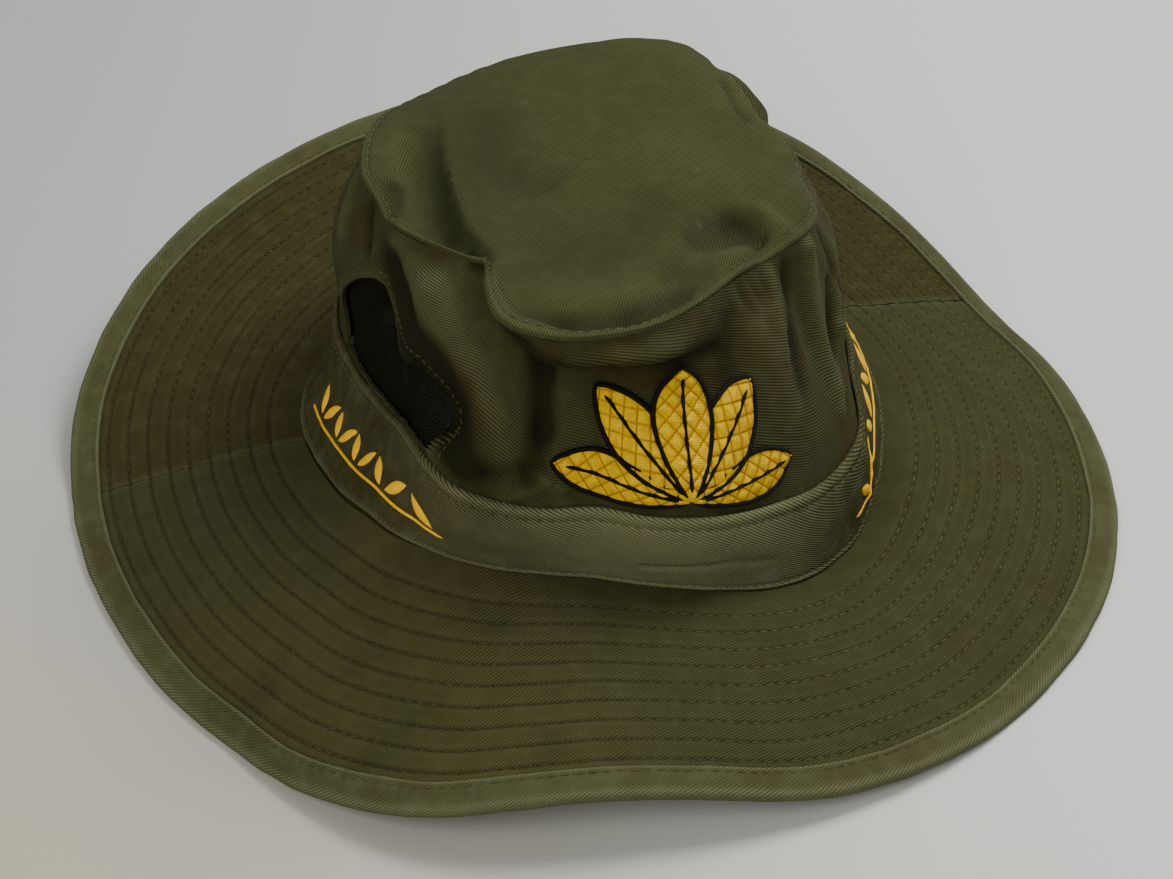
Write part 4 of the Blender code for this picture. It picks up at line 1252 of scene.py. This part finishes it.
def vent_net(name, turn):
    """A mesh of crossing strands behind a vent."""
    outline = vent_outline(VENT_LAP, name)
    offsets, runs = (np.arange(-NET_SPAN, NET_SPAN, step)[:, None] for step in (NET_PITCH, NET_STEP))
    starts, ends, lifts = [], [], []
    for layer, lean in enumerate(np.radians([45, -45])):
        along, across = np.array([[math.cos(lean), math.sin(lean)], [-math.sin(lean), math.cos(lean)]])
        spots = (offsets * across)[:, None] + runs * along + NET_MIDDLE
        inside = inside_outline(outline, spots[..., 0], spots[..., 1])
        both = inside[:, :-1] & inside[:, 1:]
        starts.append(spots[:, :-1][both])
        ends.append(spots[:, 1:][both])
        lifts.append(np.full(both.sum(), -(CROWN_CLOTH + NET_GAP) - 0.35 * MM * layer))
    lift = np.concatenate(lifts)
    first, away = off_side(*on_side(turn, *np.concatenate(starts).T), lift)
    second, _ = off_side(*on_side(turn, *np.concatenate(ends).T), lift)
    span = second - first
    lengths = np.linalg.norm(span, axis=-1)
    strands = capsules(
        (first + second) / 2, span / lengths[:, None], away, lengths * 1.06, NET_WIRE, (1, 1), 0.0
    )
    joined("net_" + name, [strands], NET_THREAD, "net", "vent_net_" + name)


def on_crown(turn, across, up, lift):
    """A spot on the dressed side, and its normal. across and up in metres."""
    place, level = on_side(turn, across, up)
    return off_side(place, level, side_relief(place, np.maximum(level, 0)) + lift)


def vent_threads():
    """Stitches round the hem of each vent, and a comb of short threads at one end of the left one."""
    threads = []
    for number, (name, turn) in enumerate(VENT_TURNS.items()):
        outline = vent_outline(VENT_HEM, name)[: VENT_STEPS + 1]
        arc = arc_lengths(outline)
        fine = np.linspace(0, arc[-1], 400)
        across, up = (np.interp(fine, arc, channel) for channel in outline.T)
        line, ups = on_crown(turn, across, up, 0.1 * MM)
        threads.append(sewn(line, ups, "vent", 180 + number))
    rows = np.arange(9)
    across, up = VENT_WIDTH / 2 + (0.5 + 0.25 * rows) * MM, (3.5 + 1.35 * rows) * MM
    centre, ups = on_crown(VENT_TURNS["left"], across, up, 0.35 * MM)
    ahead, _ = on_crown(VENT_TURNS["left"], across + MM, up + 0.2 * MM, 0.35 * MM)
    threads.append(capsules(centre, unit(ahead - centre), ups, np.full(len(rows), 3.2 * MM), 0.5 * MM))
    return threads


# Embroidery


def sweep(line, ups, width, height, swell=None, sink=0.12 * MM):
    """A half-round cord along a line of points, as points, faces and uvs."""
    if swell is None:
        number = np.arange(len(line))
        swell = np.sqrt(np.clip(np.minimum(number, number[::-1]) / 2.5, 0.08, 1))
    across = unit(np.cross(np.gradient(line, axis=0), ups))
    angles = np.linspace(0, math.pi, 8)
    side = np.cos(angles) * width / 2 * swell[:, None]
    rise = np.sin(angles) * height * swell[:, None] - sink
    points = line[:, None] + across[:, None] * side[..., None] + ups[:, None] * rise[..., None]
    count, corners = points.shape[:2]
    faces, uvs = skin(count, corners, arc_lengths(line) / MM, np.linspace(0, 3, corners + 1))
    ends = caps(corners, count)
    end_uvs = np.tile([[0, 0], [0.5, 0], [0.5, 0.5], [0, 0.5]], (len(ends), 1, 1))
    return points.reshape(-1, 3), np.concatenate([faces, ends]), np.concatenate([uvs, end_uvs])


class Leaf:
    """A padded leaf on the front of the crown."""

    def __init__(self, lean, length, width, layer):
        self.lean, self.length, self.width = math.radians(lean), length, width
        self.floor = 2 * CLEARANCE + layer * LEAF_LAYER

    def off(self, share, side):
        """Metres aside from the midrib, for a share of the length and a side from -1 to 1."""
        return side * self.width / 2 * np.sin(math.pi * np.clip(share, 0, 1) ** 1.3) ** 0.72

    def spot(self, share, side, lift):
        """A spot above the dressed side, and its normal."""
        out, off = share * self.length, self.off(share, side)
        across = out * math.sin(self.lean) + off * math.cos(self.lean)
        up = out * math.cos(self.lean) - off * math.sin(self.lean) + LEAF_ROOT + LEAF_LIFT
        return on_crown(LEAF_TURN, across, up, lift)

    def pad(self, name):
        """The leaf's quilted body."""
        share, side = np.meshgrid(np.linspace(0.02, 0.995, 110), np.linspace(-1, 1, 41), indexing="ij")
        out, off = share * self.length / MM, self.off(share, side) / MM
        lines = (np.abs(np.sin(math.pi * way / QUILT)) for way in (out + off, out - off))
        quilt = np.minimum(*lines)
        puff = np.sqrt(np.clip(1 - side**2, 0, 1))
        rise = 0.75 * puff * (1 + np.sqrt(quilt)) - 0.20
        outer, _ = self.spot(share, side, self.floor + rise * MM)
        inner, _ = self.spot(share, side, self.floor)
        uv = np.stack([off, out], axis=-1)
        # Painted shade along the quilting grooves, which darkens the stitches there.
        groove = 1 - np.minimum(quilt * 2.6, 1)
        shell(name, outer, inner, uv, QUILTED, "thread", "leaf_embroidery", groove, ring=False)

    def outline(self):
        share = np.linspace(0.03, 1.0, 70)
        side = np.repeat([1.0, -1.0], [70, 69])
        line, ups = self.spot(np.concatenate([share, share[-2::-1]]), side, self.floor + 0.05 * MM)
        return sweep(line, ups, 1.5 * MM, 1.05 * MM)

    def midrib(self):
        line, ups = self.spot(np.linspace(0.08, 0.93, 50), 0.0, self.floor + 1.0 * MM)
        return sweep(line, ups, 1.1 * MM, 0.62 * MM)


def embroidery():
    """The fan of quilted leaves, with dark outlines and midribs."""
    ink = []
    for number, (index, layer) in enumerate(LEAF_ORDER):
        leaf = Leaf(*LEAVES[index], layer)
        leaf.pad("leaf_pad_%d" % number)
        ink += [leaf.outline(), leaf.midrib()]
    joined("leaf_outlines", ink, BLACK_THREAD, "thread")


def band_leaves():
    """Small leaves in yellow thread along the band, at the left and at the right."""
    leaves, stems = [], []
    run = np.linspace(-0.5, 0.5, 24)
    half = np.sin(math.pi * np.clip(run + 0.5, 0.02, 0.98)) ** 0.8
    for turn, count, height, size in LEAF_ROWS:
        reach, _ = slope_at(turn)

        def spot(across, up):
            place, level = place_of(turn + np.degrees(across / reach)), up / BAND_HEIGHT - 1
            return off_side(place, level, BAND_OFF + band_relief(place, level))

        last = (count - 1) / 2
        for number in range(count):
            way = 1 if number % 2 else -1
            middle = (number - last) * ROW_SPREAD
            line, ups = spot(middle + run * size * 0.75, height + way * run * size * 0.85)
            leaves.append(sweep(line, ups, 3.8 * MM, 0.75 * MM, half, 0.1 * MM))
        line, ups = spot(np.linspace(-last - 0.6, last + 0.6, 200) * ROW_SPREAD, height - 0.62 * size)
        stems.append(sweep(line, ups, 0.9 * MM, 0.5 * MM))
    joined("band_leaf_rows", leaves, YELLOW_SATIN, "thread")
    joined("band_leaf_stems", stems, YELLOW_SATIN, "thread")


# Stage: turn and rise in degrees, and the distance from the target or from the origin

CAMERA_VIEW = (-20.0, 36.5, 0.950)
CAMERA_TARGET = (-0.00348, -0.00454, 0.020)
CAMERA_LENS = 98.26
CAMERA_SENSOR = 36.0
CAMERA_SHIFT = -0.0081
LAMPS = (
    # name, turn, rise, distance, size, watts, colour
    ("window", 100, 58, 1.10, 0.5, 10.5, (1.0, 1.0, 0.98)),
    ("sky", 165, 66, 2.0, 1.6, 5, (0.98, 1.0, 1.0)),
    ("room_fill", -44, 38, 2.2, 1.5, 29, (1.0, 1.0, 0.96)),
)
TABLE_HALF = 3.0
ROOM_COLOUR, ROOM_LIGHT = (0.97, 0.98, 0.96, 1.0), 0.28


def aimed(name, data, turn, rise, distance, target=(0.0, 0.0, 0.0)):
    """A camera or lamp that looks at a target from a turn and a rise."""
    rise = math.radians(rise)
    back = Vector((*outwards(turn)[:2] * math.cos(rise), math.sin(rise)))
    made = linked(name, data)
    made.location = Vector(target) + back * distance
    made.rotation_euler = (-back).to_track_quat("-Z", "Y").to_euler()
    return made


def camera():
    data = bpy.data.cameras.new("camera")
    data.lens, data.sensor_width, data.shift_y = CAMERA_LENS, CAMERA_SENSOR, CAMERA_SHIFT
    bpy.context.scene.camera = aimed("camera", data, *CAMERA_VIEW, CAMERA_TARGET)


def lamps():
    for name, turn, rise, distance, size, watts, colour in LAMPS:
        data = bpy.data.lights.new(name, "AREA")
        data.size, data.energy, data.color = size, watts, colour
        aimed(name, data, turn, rise, distance)


def table_top():
    """The pale table, with painted light: darker at one side and brighter at the other, and a warm painted
    shadow at another.
    """
    mesh = bpy.data.meshes.new("table_top")
    corners = [(x * TABLE_HALF, y * TABLE_HALF, 0) for x, y in ((-1, -1), (1, -1), (1, 1), (-1, 1))]
    mesh.from_pydata(corners, [], [(0, 1, 2, 3)])
    graph = Graph("pale_table")
    place = graph.node("TexCoord").outputs["Object"]
    dim, lit, warm_shadow, grey = ((0.43, 0.455, 0.445), (0.66, 0.672, 0.64), (0.50, 0.44, 0.31), (0.70, 0.70, 0.66))
    # Painted light: darker towards the left of the view and brighter towards the right, like a lamp's
    # falloff; then a warm painted shadow towards the front left.
    body = graph.mix(graph.sweep(place, -20.0, -0.22, 0.16), rgb(dim), rgb(lit))
    body = graph.mix(graph.sweep(place, -148.0, 0.02, 0.30), body, rgb(warm_shadow))
    cloud = graph.times(graph.noise(place, 3.0, 3.0), 0.12)
    mesh.materials.append(graph.dress(graph.mix(cloud, body, rgb(grey)), 0.6))
    linked("table_top", mesh)


def surroundings():
    world = bpy.data.worlds.new("room")
    world.use_nodes = True
    inputs = world.node_tree.nodes["Background"].inputs
    inputs["Color"].default_value, inputs["Strength"].default_value = ROOM_COLOUR, ROOM_LIGHT
    bpy.context.scene.world = world


first, last = BRIM_SEAM_ROWS
front, back = PER_ROW["front"], PER_ROW["back"]
threads = brim_piece("front_brim_cloth", first, last, front, FRONT_TWILL, "twill_green", "brim_front")
threads += brim_piece("back_brim_cloth", last, first + ROWS, back, BACK_TWILL, "twill_brown", "brim_back")
joined("brim_thread", threads, OLIVE_THREAD, "thread")
joined("binding_thread", binding(), SEAM_THREAD, "thread")
crown_side()
joined("seam_thread", crown_top(), SEAM_THREAD, "thread")
joined("band_thread", hat_band(), SEAM_THREAD, "thread")
for name, turn in VENT_TURNS.items():
    vent_net(name, turn)
joined("vent_thread", vent_threads(), SEAM_THREAD, "thread")
embroidery()
band_leaves()

table_top()
surroundings()
lamps()
camera()
